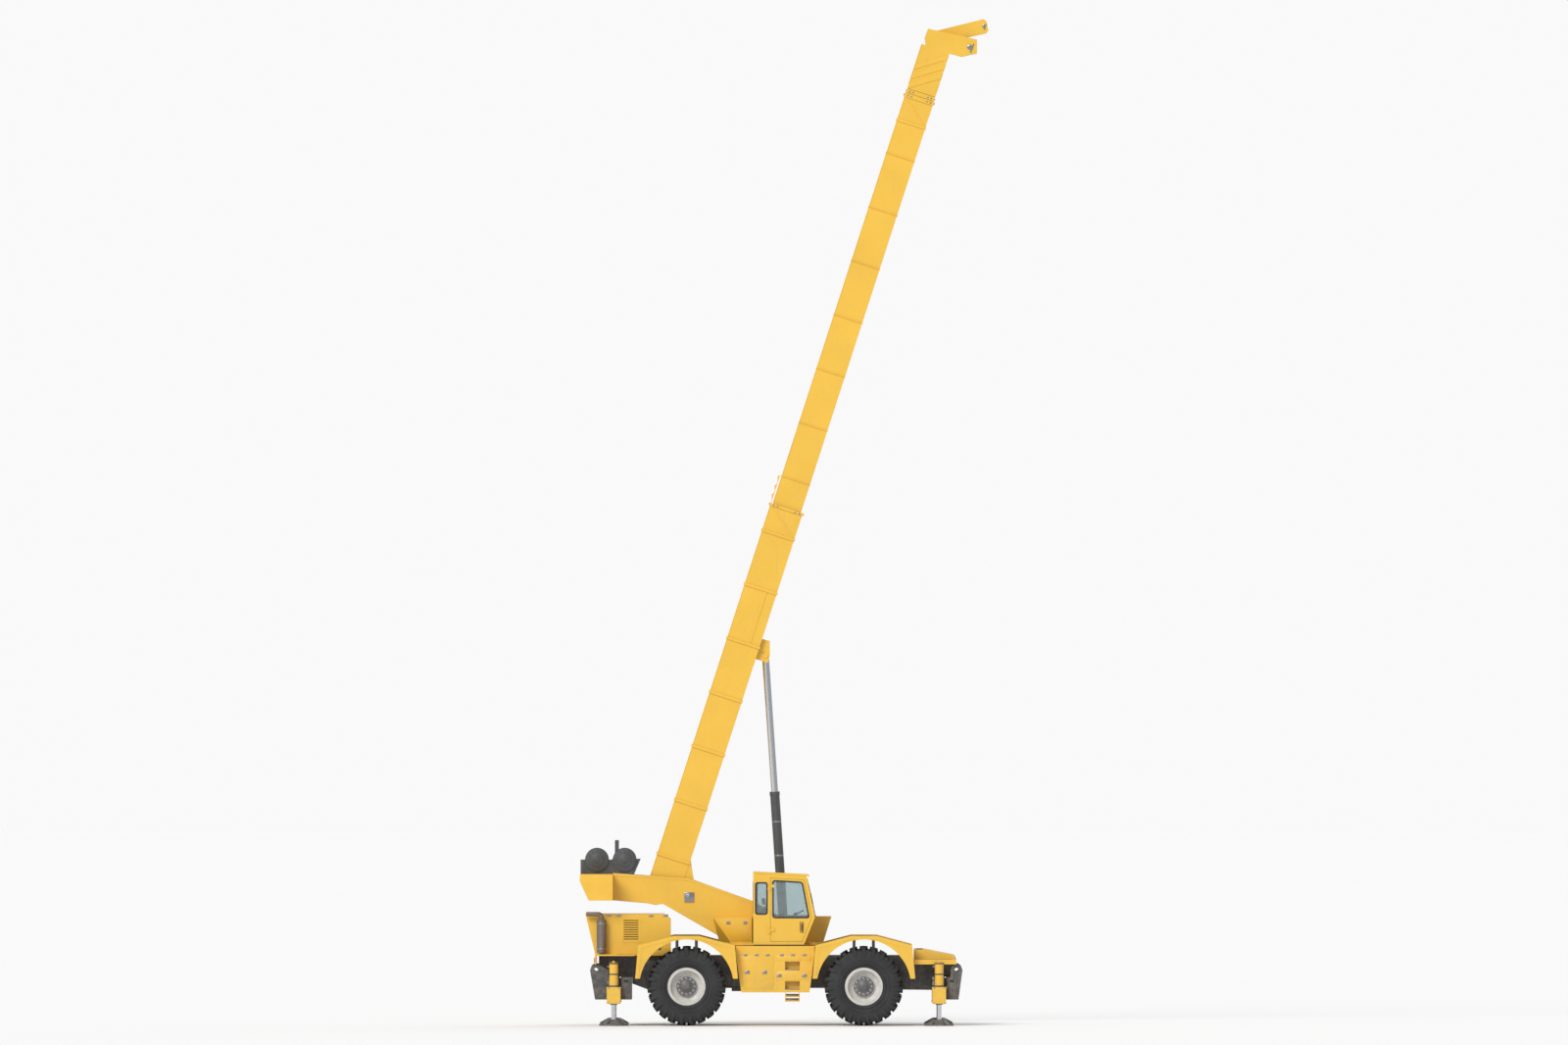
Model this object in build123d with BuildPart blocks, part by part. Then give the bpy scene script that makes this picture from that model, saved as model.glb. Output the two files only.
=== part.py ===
from build123d import *
from math import atan2, cos, degrees, hypot, radians, sin, tan
import os

os.makedirs("parts", exist_ok=True)

# Millimetres. +X is forward, +Z up, the ground is Z 0 and the origin is under the middle of
# the whole machine. Lengths named x are measured from the swing axis, which stands at SWING_X.
SWING_X = -185.0
PIN_GAP = 0.3
RUN_GAP = 6.0

# Wheels, steering and axles
WHEEL_BASE = 3658.0
TRACK = 2390.0
TYRE_RADIUS = 810.0
TYRE_WIDTH = 590.0
LUG_HEIGHT = 53.0
LUG_SIDE = 17.0
LUG_WIDTH = 68.0
LUG_SLANT = 12.0
LUGS_A_SIDE = 23
LUG_INNER_RADIUS = 565.0
BEAD_RADIUS = 346.0
BEAD_WIDTH = 480.0
FLANGE_RADIUS = 390.0
FLANGE_THICKNESS = 16.0
RIM_THICKNESS = 14.0
HUB_RADIUS = 221.0
HUB_CAP_RADIUS = 71.0
SPINDLE_RADIUS = 120.0
KING_OFFSET = 345.0
KING_PIN_RADIUS = 30.0
KNUCKLE_HALF_HEIGHT = 150.0
YOKE_ARM = 50.0
YOKE_HALF_LENGTH = 70.0
AXLE_TUBE_RADIUS = 120.0
AXLE_BOWL_RADIUS = 230.0
AXLE_NOSE_REACH = 320.0
AXLE_NOSE_RADIUS = 85.0

# Carrier frame
RAIL_INNER = 400.0
RAIL_OUTER = 520.0
RAIL_TOP = 1440.0
RAIL_LOW = 810.0
RAIL_OVER_AXLE = 990.0
RAIL_REAR_END = -3640.0
RAIL_FRONT_END = 3696.0
CROSS_PLATE = 100.0

# Outriggers
BEAM_WIDTH = 190.0
BEAM_LOW = 557.0
BEAM_HIGH = 982.0
BEAM_WALL = 12.0
BOX_WALL = 12.0
BOX_REACH = 1180.0
MOUTH_GAP = 28.5
BEAM_LENGTH = 2300.0
JACK_HOUSING = 283.0
JACK_Y = BOX_REACH + MOUTH_GAP + JACK_HOUSING / 2
BEAM_TIP = BOX_REACH + MOUTH_GAP + 1
JACK_HOUSING_LOW = 456.0
JACK_HOUSING_HIGH = 800.0
JACK_BARREL_RADIUS = 91.0
JACK_TOP = 1306.0
JACK_ROD_RADIUS = 50.5
JACK_ROD_TOP = 960.0
FLOAT_RADIUS = 303.0
FLOAT_THICKNESS = 30.0
FLOAT_CONE_HIGH = 132.0
PAD_LENGTH = 80.0
EAR_RADIUS = 116.0
EAR_HOLE_RADIUS = 45.0
EAR_HEIGHT = 1148.0
EAR_PLATE = 30.0
FRONT_RAIL_TOP = EAR_HEIGHT + EAR_RADIUS + 2
REAR_JACK_X = -3331.0
REAR_OTHER_X = -3073.0
FRONT_JACK_X = 3382.0
FRONT_OTHER_X = 3643.0

# Decks, side boxes and fenders
DECK_HALF = 1250.0
DECK_INNER_HALF = 1000.0
SIDE_BOX_LOW = 688.0
SIDE_BOX_HIGH = 1508.0
CENTRE_DECK_TOP = 1645.0
REAR_DECK_TOP = 1468.0
STEP_LOW_X = 203.0
STEP_HIGH_X = 506.0
STEP_DEPTH = 150.0
FENDER_REACH = 1059.0
FENDER_CORNER_X = 998.0
FENDER_FLAT_HALF = 263.0
FENDER_LEG_LOW = 164.0
FENDER_CORNER_RISE = 850.0
FENDER_RISE = 1043.0
FENDER_ARCH_RADIUS = 973.0
FENDER_PLATE = 14.0
FENDER_BAND = 72.0
FENDER_ARM = 60.0

# Engine hood
HOOD_HALF = 640.0
HOOD_TOP = 2298.0
HOOD_WALL = 16.0
MUFFLER_X = -3584.0
MUFFLER_RADIUS = 101.0
PIPE_RADIUS = 44.0

# Turntable
TABLE_LOW = 1655.0
TABLE_TOP = 1711.0
BEARING_RADIUS = 510.0
BEARING_BORE = 380.0
PLATE_INNER = 330.0
PLATE_OUTER = 370.0
FAIRING_TOP = 2238.0
FAIRING_TOP_HALF = 1000.0
TABLE_HALF = 860.0
PIVOT_X = -1778.0
PIVOT_Z = 2643.0
PIVOT_PIN_RADIUS = 80.0
PIVOT_BOSS = 207.0
WEIGHT_HALF = 1100.0
DRUM_Z = 3412.0
DRUM_REAR_X = -3683.0
DRUM_FRONT_X = -3112.0
DRUM_DISC_RADIUS = 244.0
DRUM_RADIUS = 190.0
DRUM_SHAFT_RADIUS = 50.0

# Cab
CAB_INNER_Y = -420.0
CAB_OUTER_Y = -1170.0
CAB_LOW = 1671.0
CAB_WALL = 45.0
CAB_REAR_X = -454.0
CAB_BELT_X = 822.0
CAB_BELT_Z = 2238.0
CAB_ROOF_REAR = 3150.0
CAB_ROOF_FRONT = 3085.0
DOOR_REAR_X = -101.0
DOOR_GAP = 6.0
GLASS = 8.0

# Boom
BOOM_ANGLE = 72.06
BASE_WIDTH = 520.0
BASE_LOW = 211.0
BASE_HIGH = 899.0
BASE_WALL = 9.0
BASE_FOOT = -264.0
BASE_END = 8264.0
RING_PROUD = 24.0
SECOND_WIDTH = 450.0
SECOND_HEIGHT = 606.0
SECOND_RING_PROUD = 20.0
SECOND_START = 7364.0
SECOND_END = 17182.0
THIRD_WIDTH = 418.0
THIRD_HEIGHT = 574.0
THIRD_START = 8500.0
FOURTH_WIDTH = 386.0
FOURTH_HEIGHT = 542.0
FOURTH_START = 8900.0
TUBE_WALL = 9.0
COLLAR = 84.0
HEAD_START = 18242.0
SHEAVE_RADIUS = 140.0
SHEAVE_PIN_RADIUS = 32.0
NOSE_SHEAVE_RADIUS = 75.0
NOSE_HALF = 85.0

# Lift cylinder: its base pin from the swing axis and the ground, its rod eye along the boom
LIFT_BASE_X = 186.0
LIFT_BASE_Z = 1887.0
LIFT_EYE_S = 5235.0
LIFT_EYE_T = 40.0
LIFT_BARREL_RADIUS = 97.5
LIFT_BARREL_LENGTH = 2930.0
LIFT_ROD_RADIUS = 73.0
LIFT_PIN_RADIUS = 60.0

AXLE_Z = TYRE_RADIUS
HALF_BASE = WHEEL_BASE / 2
WHEEL_Y = TRACK / 2
BOOM_MIDDLE = (BASE_LOW + BASE_HIGH) / 2


def side(y):
    """The plane at y seen from the right side: sketch x is forward, sketch y is up."""
    return Plane(origin=(SWING_X, y, 0), x_dir=(1, 0, 0), z_dir=(0, -1, 0))


def slab(points, y_low, y_high, mode=Mode.ADD, corner=0):
    """A plate or block with the given side view, between two planes across the machine."""
    with BuildSketch(side(y_high)) as profile:
        with BuildLine():
            Polyline(*points, close=True)
        make_face()
        if corner:
            fillet(profile.vertices(), radius=corner)
    extrude(profile.sketch, amount=y_high - y_low, mode=mode)


def block(x, y, z, mode=Mode.ADD):
    """A box between its limits along X, Y and Z."""
    with Locations((SWING_X + sum(x) / 2, sum(y) / 2, sum(z) / 2)):
        Box(x[1] - x[0], y[1] - y[0], z[1] - z[0], mode=mode)


def cross_bar(x, z, radius, y_low, y_high, mode=Mode.ADD):
    """A round bar or bore across the machine."""
    with BuildSketch(side(y_high)) as profile:
        with Locations((x, z)):
            Circle(radius)
    extrude(profile.sketch, amount=y_high - y_low, mode=mode)


def post(x, y, radius, z_low, z_high, mode=Mode.ADD):
    """An upright round bar or bore."""
    with BuildSketch(Plane((SWING_X, 0, z_low))) as profile:
        with Locations((x, y)):
            Circle(radius)
    extrude(profile.sketch, amount=z_high - z_low, mode=mode)


def shaft(y, z, radius, x_low, x_high, mode=Mode.ADD):
    """A round bar or bore along the machine."""
    with BuildSketch(Plane((SWING_X + x_low, y, z), x_dir=(0, 1, 0), z_dir=(1, 0, 0))) as profile:
        Circle(radius)
    extrude(profile.sketch, amount=x_high - x_low, mode=mode)


def plan(points, z_low, z_high, mode=Mode.ADD):
    """A plate with the given plan view."""
    with BuildSketch(Plane((SWING_X, 0, z_low))) as profile:
        with BuildLine():
            Polyline(*points, close=True)
        make_face()
    extrude(profile.sketch, amount=z_high - z_low, mode=mode)


def boom_point(s, t):
    """Machine x and z of a point s along the boom from its pivot and t above that line."""
    c, d = cos(radians(BOOM_ANGLE)), sin(radians(BOOM_ANGLE))
    return PIVOT_X + s * c - t * d, PIVOT_Z + s * d + t * c


def boom_side(y):
    """The plane at y laid along the boom: sketch x is s, sketch y is t."""
    along = (cos(radians(BOOM_ANGLE)), 0, sin(radians(BOOM_ANGLE)))
    return Plane(origin=(SWING_X + PIVOT_X, y, PIVOT_Z), x_dir=along, z_dir=(0, -1, 0))


def boom_slab(points, y_low, y_high, mode=Mode.ADD):
    """A plate whose side view is drawn along the boom."""
    with BuildSketch(boom_side(y_high)) as profile:
        with BuildLine():
            Polyline(*points, close=True)
        make_face()
    extrude(profile.sketch, amount=y_high - y_low, mode=mode)


def boom_bar(s, t, radius, y_low, y_high, mode=Mode.ADD):
    """A round bar or bore across the boom."""
    with BuildSketch(boom_side(y_high)) as profile:
        with Locations((s, t)):
            Circle(radius)
    extrude(profile.sketch, amount=y_high - y_low, mode=mode)


def boom_tube(start, end, width, height, hole_width=0, hole_height=0, mode=Mode.ADD):
    """A box tube along the boom, on the middle line of its sections."""
    x, z = boom_point(start, BOOM_MIDDLE)
    along = (cos(radians(BOOM_ANGLE)), 0, sin(radians(BOOM_ANGLE)))
    with BuildSketch(Plane((SWING_X + x, 0, z), x_dir=(0, 1, 0), z_dir=along)) as profile:
        Rectangle(width, height)
        if hole_width:
            Rectangle(hole_width, hole_height, mode=Mode.SUBTRACT)
    extrude(profile.sketch, amount=end - start, mode=mode)


# Carrier frame: two rails raised over the axles, tied by cross plates, with posts for the fenders.
# The rail's profile is x and z; a cross plate is its two ends along x and its low and high z.
RAIL_PROFILE = [
    (RAIL_REAR_END, RAIL_TOP),
    (RAIL_REAR_END, 1000.0),
    (-2950.0, 1000.0),
    (-2950.0, 860.0),
    (-2632.0, 739.0),
    (-2330.0, 739.0),
    (-2240.0, RAIL_OVER_AXLE),
    (-1430.0, RAIL_OVER_AXLE),
    (-1300.0, RAIL_LOW),
    (1300.0, RAIL_LOW),
    (1430.0, RAIL_OVER_AXLE),
    (2240.0, RAIL_OVER_AXLE),
    (2330.0, 739.0),
    (3255.0, 729.0),
    (3255.0, 1000.0),
    (RAIL_FRONT_END, 1000.0),
    (RAIL_FRONT_END, FRONT_RAIL_TOP),
    (2865.0, FRONT_RAIL_TOP),
    (2800.0, RAIL_TOP),
]
with BuildPart() as carrier_frame:
    slab(RAIL_PROFILE, RAIL_INNER, RAIL_OUTER)
    slab(RAIL_PROFILE, -RAIL_OUTER, -RAIL_INNER)
    for x_low, x_high, z_low, z_high in (
        (-760.0, 760.0, RAIL_TOP - CROSS_PLATE, RAIL_TOP),
        (RAIL_REAR_END, RAIL_REAR_END + 60, 1000.0, RAIL_TOP),
        (-2250.0, -2190.0, 1060.0, RAIL_TOP),
        (1400.0, 1460.0, 1060.0, RAIL_TOP),
        (2250.0, 2310.0, 1060.0, RAIL_TOP),
        (RAIL_FRONT_END - 60, RAIL_FRONT_END, 1000.0, FRONT_RAIL_TOP),
    ):
        block((x_low, x_high), (-RAIL_INNER, RAIL_INNER), (z_low, z_high))
    arm_top = AXLE_Z + FENDER_RISE - FENDER_PLATE
    for axle_x in (-HALF_BASE, HALF_BASE):
        for step in (-200.0, 200.0):
            limits = (axle_x + step - FENDER_ARM / 2, axle_x + step + FENDER_ARM / 2)
            for hand in (-1, 1):
                across = sorted((hand * (RAIL_OUTER - 80), hand * RAIL_OUTER))
                block(limits, across, (RAIL_TOP, arm_top))
                across = sorted((hand * RAIL_OUTER, hand * (WHEEL_Y + TYRE_WIDTH / 2 - 60)))
                block(limits, across, (arm_top - FENDER_ARM, arm_top))
carrier_frame.part.label = "carrier_frame"
export_step(carrier_frame.part, "parts/carrier_frame.step")

# Swing bearing between the carrier and the turntable
with BuildPart() as swing_bearing:
    post(0, 0, BEARING_RADIUS, RAIL_TOP, TABLE_LOW - PIN_GAP)
    post(0, 0, BEARING_BORE, RAIL_TOP, TABLE_LOW, mode=Mode.SUBTRACT)
swing_bearing.part.label = "swing_bearing"
export_step(swing_bearing.part, "parts/swing_bearing.step")

# Centre deck round the bearing, over the side boxes
with BuildPart() as centre_deck:
    block((-840.0, 860.0), (-DECK_INNER_HALF, DECK_INNER_HALF), (SIDE_BOX_HIGH, CENTRE_DECK_TOP))
    block((-812.0, 812.0), (-DECK_HALF, DECK_HALF), (SIDE_BOX_HIGH, CENTRE_DECK_TOP))
    block((-760.0, 760.0), (-RAIL_OUTER, RAIL_OUTER), (RAIL_TOP, SIDE_BOX_HIGH))
    post(0, 0, BEARING_RADIUS + RUN_GAP, RAIL_TOP, CENTRE_DECK_TOP, mode=Mode.SUBTRACT)
centre_deck.part.label = "centre_deck"
export_step(centre_deck.part, "parts/centre_deck.step")

# Front deck: a sloping locker on a bumper plate
with BuildPart() as front_deck:
    block((2865.0, 3736.0), (-DECK_HALF, DECK_HALF), (FRONT_RAIL_TOP, 1367.0))
    locker = [(2865.0, 1367.0), (2865.0, 1569.0), (3088.0, 1569.0), (3696.0, 1448.0),
              (3696.0, 1367.0)]
    slab(locker, -DECK_INNER_HALF + 30, DECK_INNER_HALF - 30)
front_deck.part.label = "front_deck"
export_step(front_deck.part, "parts/front_deck.step")

# Rear deck: the plate that carries the hood and the muffler, with a skirt behind
with BuildPart() as rear_deck:
    outline = [(-3716.0, -DECK_HALF), (-2900.0, -DECK_HALF), (-2900.0, -HOOD_HALF),
               (-2157.0, -HOOD_HALF), (-2157.0, HOOD_HALF), (-2900.0, HOOD_HALF),
               (-2900.0, DECK_HALF), (-3716.0, DECK_HALF)]
    plan(outline, RAIL_TOP, REAR_DECK_TOP)
    block((-3560.0, -2280.0), (-380.0, 380.0), (RAIL_TOP, REAR_DECK_TOP), mode=Mode.SUBTRACT)
    block((-3716.0, -3690.0), (-DECK_HALF, DECK_HALF), (FRONT_RAIL_TOP, RAIL_TOP))
rear_deck.part.label = "rear_deck"
export_step(rear_deck.part, "parts/rear_deck.step")

# Side boxes between the wheels, each with two step pockets and a step hung below
with BuildPart() as side_boxes:
    for hand in (-1, 1):
        near, far = sorted((hand * RAIL_OUTER, hand * DECK_HALF))
        outline = [(-701.0, SIDE_BOX_LOW), (709.0, SIDE_BOX_LOW), (814.0, SIDE_BOX_HIGH),
                   (-814.0, SIDE_BOX_HIGH)]
        slab(outline, near, far)
        skin = sorted((hand * (DECK_HALF - STEP_DEPTH), hand * DECK_HALF))
        for pocket_low, pocket_high in ((1144.0, 1326.0), (739.0, 921.0)):
            block((STEP_LOW_X, STEP_HIGH_X), skin, (pocket_low, pocket_high), mode=Mode.SUBTRACT)
        for bar_low, bar_high in ((496.0, 520.0), (590.0, 610.0)):
            block((STEP_LOW_X, STEP_HIGH_X), skin, (bar_low, bar_high))
        for strap in (STEP_LOW_X, STEP_HIGH_X - 14):
            block((strap, strap + 14), skin, (496.0, SIDE_BOX_LOW))
side_boxes.part.label = "side_boxes"
export_step(side_boxes.part, "parts/side_boxes.step")


def fender_outline(axle_x, inset):
    """Half of an octagon over the wheel, drawn in by the inset."""
    lean = inset * 0.9
    return [
        (axle_x - FENDER_REACH + inset, AXLE_Z + FENDER_LEG_LOW),
        (axle_x - FENDER_CORNER_X + inset, AXLE_Z + FENDER_CORNER_RISE - lean),
        (axle_x - FENDER_FLAT_HALF + inset * 0.15, AXLE_Z + FENDER_RISE - inset),
        (axle_x + FENDER_FLAT_HALF - inset * 0.15, AXLE_Z + FENDER_RISE - inset),
        (axle_x + FENDER_CORNER_X - inset, AXLE_Z + FENDER_CORNER_RISE - lean),
        (axle_x + FENDER_REACH - inset, AXLE_Z + FENDER_LEG_LOW),
    ]


# Fenders: a bent plate over each wheel, a web with the wheel arch and a raised band outside.
# A layer is its inner and outer y and how deep the bent plate is.
with BuildPart() as fenders:
    fender_outer = WHEEL_Y + TYRE_WIDTH / 2
    for axle_x in (-HALF_BASE, HALF_BASE):
        for hand in (-1, 1):
            layers = (
                (DECK_INNER_HALF, fender_outer - 8, FENDER_PLATE),
                (fender_outer - 8, fender_outer, FENDER_BAND),
            )
            for y_inner, y_outer, depth in layers:
                y_low, y_high = sorted((hand * y_inner, hand * y_outer))
                ring = fender_outline(axle_x, 0) + fender_outline(axle_x, depth)[::-1]
                slab(ring, y_low, y_high)
            y_low, y_high = sorted((hand * (fender_outer - 18), hand * (fender_outer - 8)))
            with BuildSketch(side(y_high)) as web:
                with BuildLine():
                    Polyline(*fender_outline(axle_x, FENDER_PLATE), close=True)
                make_face()
                with Locations((axle_x, AXLE_Z)):
                    Circle(FENDER_ARCH_RADIUS, mode=Mode.SUBTRACT)
            extrude(web.sketch, amount=y_high - y_low)
fenders.part.label = "fenders"
export_step(fenders.part, "parts/fenders.step")

# Axle housings with their bowls, noses, seats on the rails and yokes for the king pins
KING_Y = WHEEL_Y - KING_OFFSET
with BuildPart() as axle_housings:
    for axle_x, inward in ((-HALF_BASE, 1), (HALF_BASE, -1)):
        cross_bar(axle_x, AXLE_Z, AXLE_TUBE_RADIUS, -KING_Y + 80, KING_Y - 80)
        cross_bar(axle_x, AXLE_Z, AXLE_BOWL_RADIUS, -150.0, 150.0)
        nose = sorted((axle_x, axle_x + inward * AXLE_NOSE_REACH))
        shaft(0, AXLE_Z, AXLE_NOSE_RADIUS, *nose)
        for hand in (-1, 1):
            seat = sorted((hand * (RAIL_INNER + 15), hand * (RAIL_OUTER - 15)))
            block((axle_x - 110, axle_x + 110), seat, (AXLE_Z, RAIL_OVER_AXLE))
            reach = KNUCKLE_HALF_HEIGHT + 5 + YOKE_ARM
            length = (axle_x - YOKE_HALF_LENGTH, axle_x + YOKE_HALF_LENGTH)
            root = sorted((hand * (KING_Y - 115), hand * (KING_Y - 75)))
            block(length, root, (AXLE_Z - reach, AXLE_Z + reach))
            arm = sorted((hand * (KING_Y - 75), hand * (KING_Y + 50)))
            for up in (-1, 1):
                heights = sorted((AXLE_Z + up * reach, AXLE_Z + up * (reach - YOKE_ARM)))
                block(length, arm, heights)
            bore = KING_PIN_RADIUS + PIN_GAP
            post(axle_x, hand * KING_Y, bore, AXLE_Z + reach - YOKE_ARM - 1, AXLE_Z + reach + 1,
                 mode=Mode.SUBTRACT)
            post(axle_x, hand * KING_Y, bore, AXLE_Z - reach - 1, AXLE_Z - reach + YOKE_ARM + 1,
                 mode=Mode.SUBTRACT)
axle_housings.part.label = "axle_housings"
export_step(axle_housings.part, "parts/axle_housings.step")

# Gearbox with a shaft to each axle
with BuildPart() as drive_line:
    block((-900.0, -300.0), (-250.0, 250.0), (700.0, 1230.0))
    block((-650.0, -550.0), (-RAIL_INNER, RAIL_INNER), (1000.0, 1080.0))
    shaft(0, AXLE_Z, 48.0, -HALF_BASE + AXLE_NOSE_REACH, -900.0)
    shaft(0, AXLE_Z, 48.0, -300.0, HALF_BASE - AXLE_NOSE_REACH)
drive_line.part.label = "drive_line"
export_step(drive_line.part, "parts/drive_line.step")

# Engine hood: a folded housing with louvres in its sides and a grille behind; profile in x and z
HOOD_PROFILE = [(-3918.0, HOOD_TOP), (-2298.0, HOOD_TOP), (-2157.0, 2187.0),
                (-2157.0, REAR_DECK_TOP), (-3716.0, REAR_DECK_TOP)]
LOUVRE_X = (-3179.0, -2774.0)
LOUVRE_Z = (1711.0, 2238.0)
LOUVRES = 9
with BuildPart() as engine_hood:
    slab(HOOD_PROFILE, -HOOD_HALF, HOOD_HALF)
    with BuildSketch(side(HOOD_HALF - HOOD_WALL)) as hollow:
        with BuildLine():
            Polyline(*HOOD_PROFILE, close=True)
        make_face()
        offset(amount=-HOOD_WALL, kind=Kind.INTERSECTION)
    extrude(hollow.sketch, amount=2 * (HOOD_HALF - HOOD_WALL), mode=Mode.SUBTRACT)
    block((-3690.0, -2175.0), (HOOD_WALL - HOOD_HALF, HOOD_HALF - HOOD_WALL),
          (REAR_DECK_TOP, REAR_DECK_TOP + 2 * HOOD_WALL), mode=Mode.SUBTRACT)
    for hand in (-1, 1):
        frame_y = sorted((hand * HOOD_HALF, hand * (HOOD_HALF + 10)))
        block(LOUVRE_X, frame_y, LOUVRE_Z)
        through = sorted((hand * (HOOD_HALF - 40), hand * (HOOD_HALF + 20)))
        pitch = (LOUVRE_Z[1] - LOUVRE_Z[0]) / (LOUVRES + 2)
        for i in range(LOUVRES):
            z = LOUVRE_Z[0] + pitch * (i + 1.5)
            block((LOUVRE_X[0] + 50, LOUVRE_X[1] - 50), through, (z - pitch / 4, z + pitch / 4),
                  mode=Mode.SUBTRACT)
    for i in range(8):
        z = 1640.0 + 70.0 * i
        block((-3960.0, -3600.0), (-480.0, 480.0), (z, z + 30), mode=Mode.SUBTRACT)
engine_hood.part.label = "engine_hood"
export_step(engine_hood.part, "parts/engine_hood.step")

# Engine as one block on its mounts, with the radiator behind it
with BuildPart() as engine_block:
    block((-3350.0, -2400.0), (-340.0, 340.0), (1060.0, 2050.0))
    for x in (-3250.0, -2600.0):
        block((x, x + 100), (-RAIL_INNER, RAIL_INNER), (1150.0, 1230.0))
    block((-3500.0, -3350.0), (-340.0, 340.0), (1560.0, 2150.0))
engine_block.part.label = "engine_block"
export_step(engine_block.part, "parts/engine_block.step")

# Muffler on the rear deck, with its tail pipe bent to the rear
MUFFLER_Y = -(HOOD_HALF + MUFFLER_RADIUS + 30)
with BuildPart() as muffler:
    post(MUFFLER_X, MUFFLER_Y, MUFFLER_RADIUS, 1498.0, 2177.0)
    post(MUFFLER_X, MUFFLER_Y, MUFFLER_RADIUS / 2, REAR_DECK_TOP, 1498.0)
    for z in (1650.0, 2030.0):
        block((MUFFLER_X - 30, MUFFLER_X + 30), (MUFFLER_Y, -HOOD_HALF), (z, z + 40))
    with BuildLine(side(MUFFLER_Y)) as route:
        FilletPolyline((MUFFLER_X, 2170.0), (MUFFLER_X, 2297.0), (-3900.0, 2297.0), radius=70.0)
    with BuildSketch(Plane((SWING_X + MUFFLER_X, MUFFLER_Y, 2170.0))) as pipe:
        Circle(PIPE_RADIUS)
    sweep(pipe.sketch, path=route.line)
muffler.part.label = "muffler"
export_step(muffler.part, "parts/muffler.step")

# Head lamps in the front locker and tail lamps on the rear skirt
with BuildPart() as lamps:
    for y in (-700.0, 700.0):
        shaft(y, 1408.0, 30.0, 3696.0, 3722.0)
    for y in (-1080.0, 1080.0):
        block((-3738.0, -3716.0), (y - 90, y + 90), (1300.0, 1390.0))
lamps.part.label = "lamps"
export_step(lamps.part, "parts/lamps.step")

# Outrigger boxes: two tubes side by side at each end, tied together, each carrying one beam
BOX_WIDTH = BEAM_WIDTH + 2 * (RUN_GAP + BOX_WALL)
BOX_LOW = BEAM_LOW - RUN_GAP - BOX_WALL
BOX_HIGH = BEAM_HIGH + RUN_GAP + BOX_WALL
PAIRS = ((REAR_JACK_X, REAR_OTHER_X), (FRONT_JACK_X, FRONT_OTHER_X))
with BuildPart() as outrigger_boxes:
    for jack_x, other_x in PAIRS:
        for x in (jack_x, other_x):
            block((x - BOX_WIDTH / 2, x + BOX_WIDTH / 2), (-BOX_REACH, BOX_REACH),
                  (BOX_LOW, BOX_HIGH))
        block((jack_x, other_x), (-BOX_REACH + 90, BOX_REACH - 90), (BOX_LOW + 40, BOX_HIGH - 40))
    for jack_x, other_x in PAIRS:
        for x in (jack_x, other_x):
            hole = BEAM_WIDTH / 2 + RUN_GAP
            block((x - hole, x + hole), (-BOX_REACH, BOX_REACH),
                  (BEAM_LOW - RUN_GAP, BEAM_HIGH + RUN_GAP), mode=Mode.SUBTRACT)
    pad = RUN_GAP - PIN_GAP
    half = BEAM_WIDTH / 2
    middle = (BEAM_LOW + BEAM_HIGH) / 2
    for jack_x, other_x in PAIRS:
        for x, hand in ((jack_x, -1), (other_x, 1)):
            mouth = sorted((hand * (BOX_REACH - PAD_LENGTH), hand * BOX_REACH))
            for z in (BEAM_LOW - RUN_GAP, BEAM_HIGH + PIN_GAP):
                block((x - half + 20, x + half - 20), mouth, (z, z + pad))
            for x_low in (x - half - RUN_GAP, x + half + PIN_GAP):
                block((x_low, x_low + pad), mouth, (middle - 120, middle + 120))
outrigger_boxes.part.label = "outrigger_boxes"
export_step(outrigger_boxes.part, "parts/outrigger_boxes.step")

# Tie-down plates on the outrigger boxes, each with an ear
REAR_EAR_X = -3698.0
FRONT_EAR_X = 3742.0
with BuildPart() as tie_down_plates:
    rear_wall = REAR_JACK_X - BOX_WIDTH / 2
    front_wall = FRONT_OTHER_X + BOX_WIDTH / 2
    rear_outline = [(rear_wall, BOX_LOW), (-3716.0, BOX_LOW), (-3821.0, EAR_HEIGHT),
                    (-3640.0, 1254.0), (rear_wall, 1150.0)]
    front_outline = [(front_wall, BOX_LOW), (3782.0, BOX_LOW), (3865.0, EAR_HEIGHT),
                     (3700.0, 1264.0), (3618.0, EAR_HEIGHT), (3618.0, BOX_HIGH),
                     (front_wall, BOX_HIGH)]
    for outline, ear_x in ((rear_outline, REAR_EAR_X), (front_outline, FRONT_EAR_X)):
        for hand in (-1, 1):
            y_low, y_high = sorted((hand * (BOX_REACH - EAR_PLATE), hand * BOX_REACH))
            slab(outline, y_low, y_high)
            cross_bar(ear_x, EAR_HEIGHT, EAR_RADIUS, y_low, y_high)
            cross_bar(ear_x, EAR_HEIGHT, EAR_HOLE_RADIUS, y_low, y_high, mode=Mode.SUBTRACT)
tie_down_plates.part.label = "tie_down_plates"
export_step(tie_down_plates.part, "parts/tie_down_plates.step")

# Name of each corner, its end (1 is the front) and its side (1 is the left)
CORNERS = (
    ("front_right", 1, -1),
    ("front_left", 1, 1),
    ("rear_right", -1, -1),
    ("rear_left", -1, 1),
)
TREAD_RADIUS = TYRE_RADIUS - LUG_HEIGHT
CARCASS_HALF = TYRE_WIDTH / 2 - LUG_SIDE
BEAD_HALF = BEAD_WIDTH / 2

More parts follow.
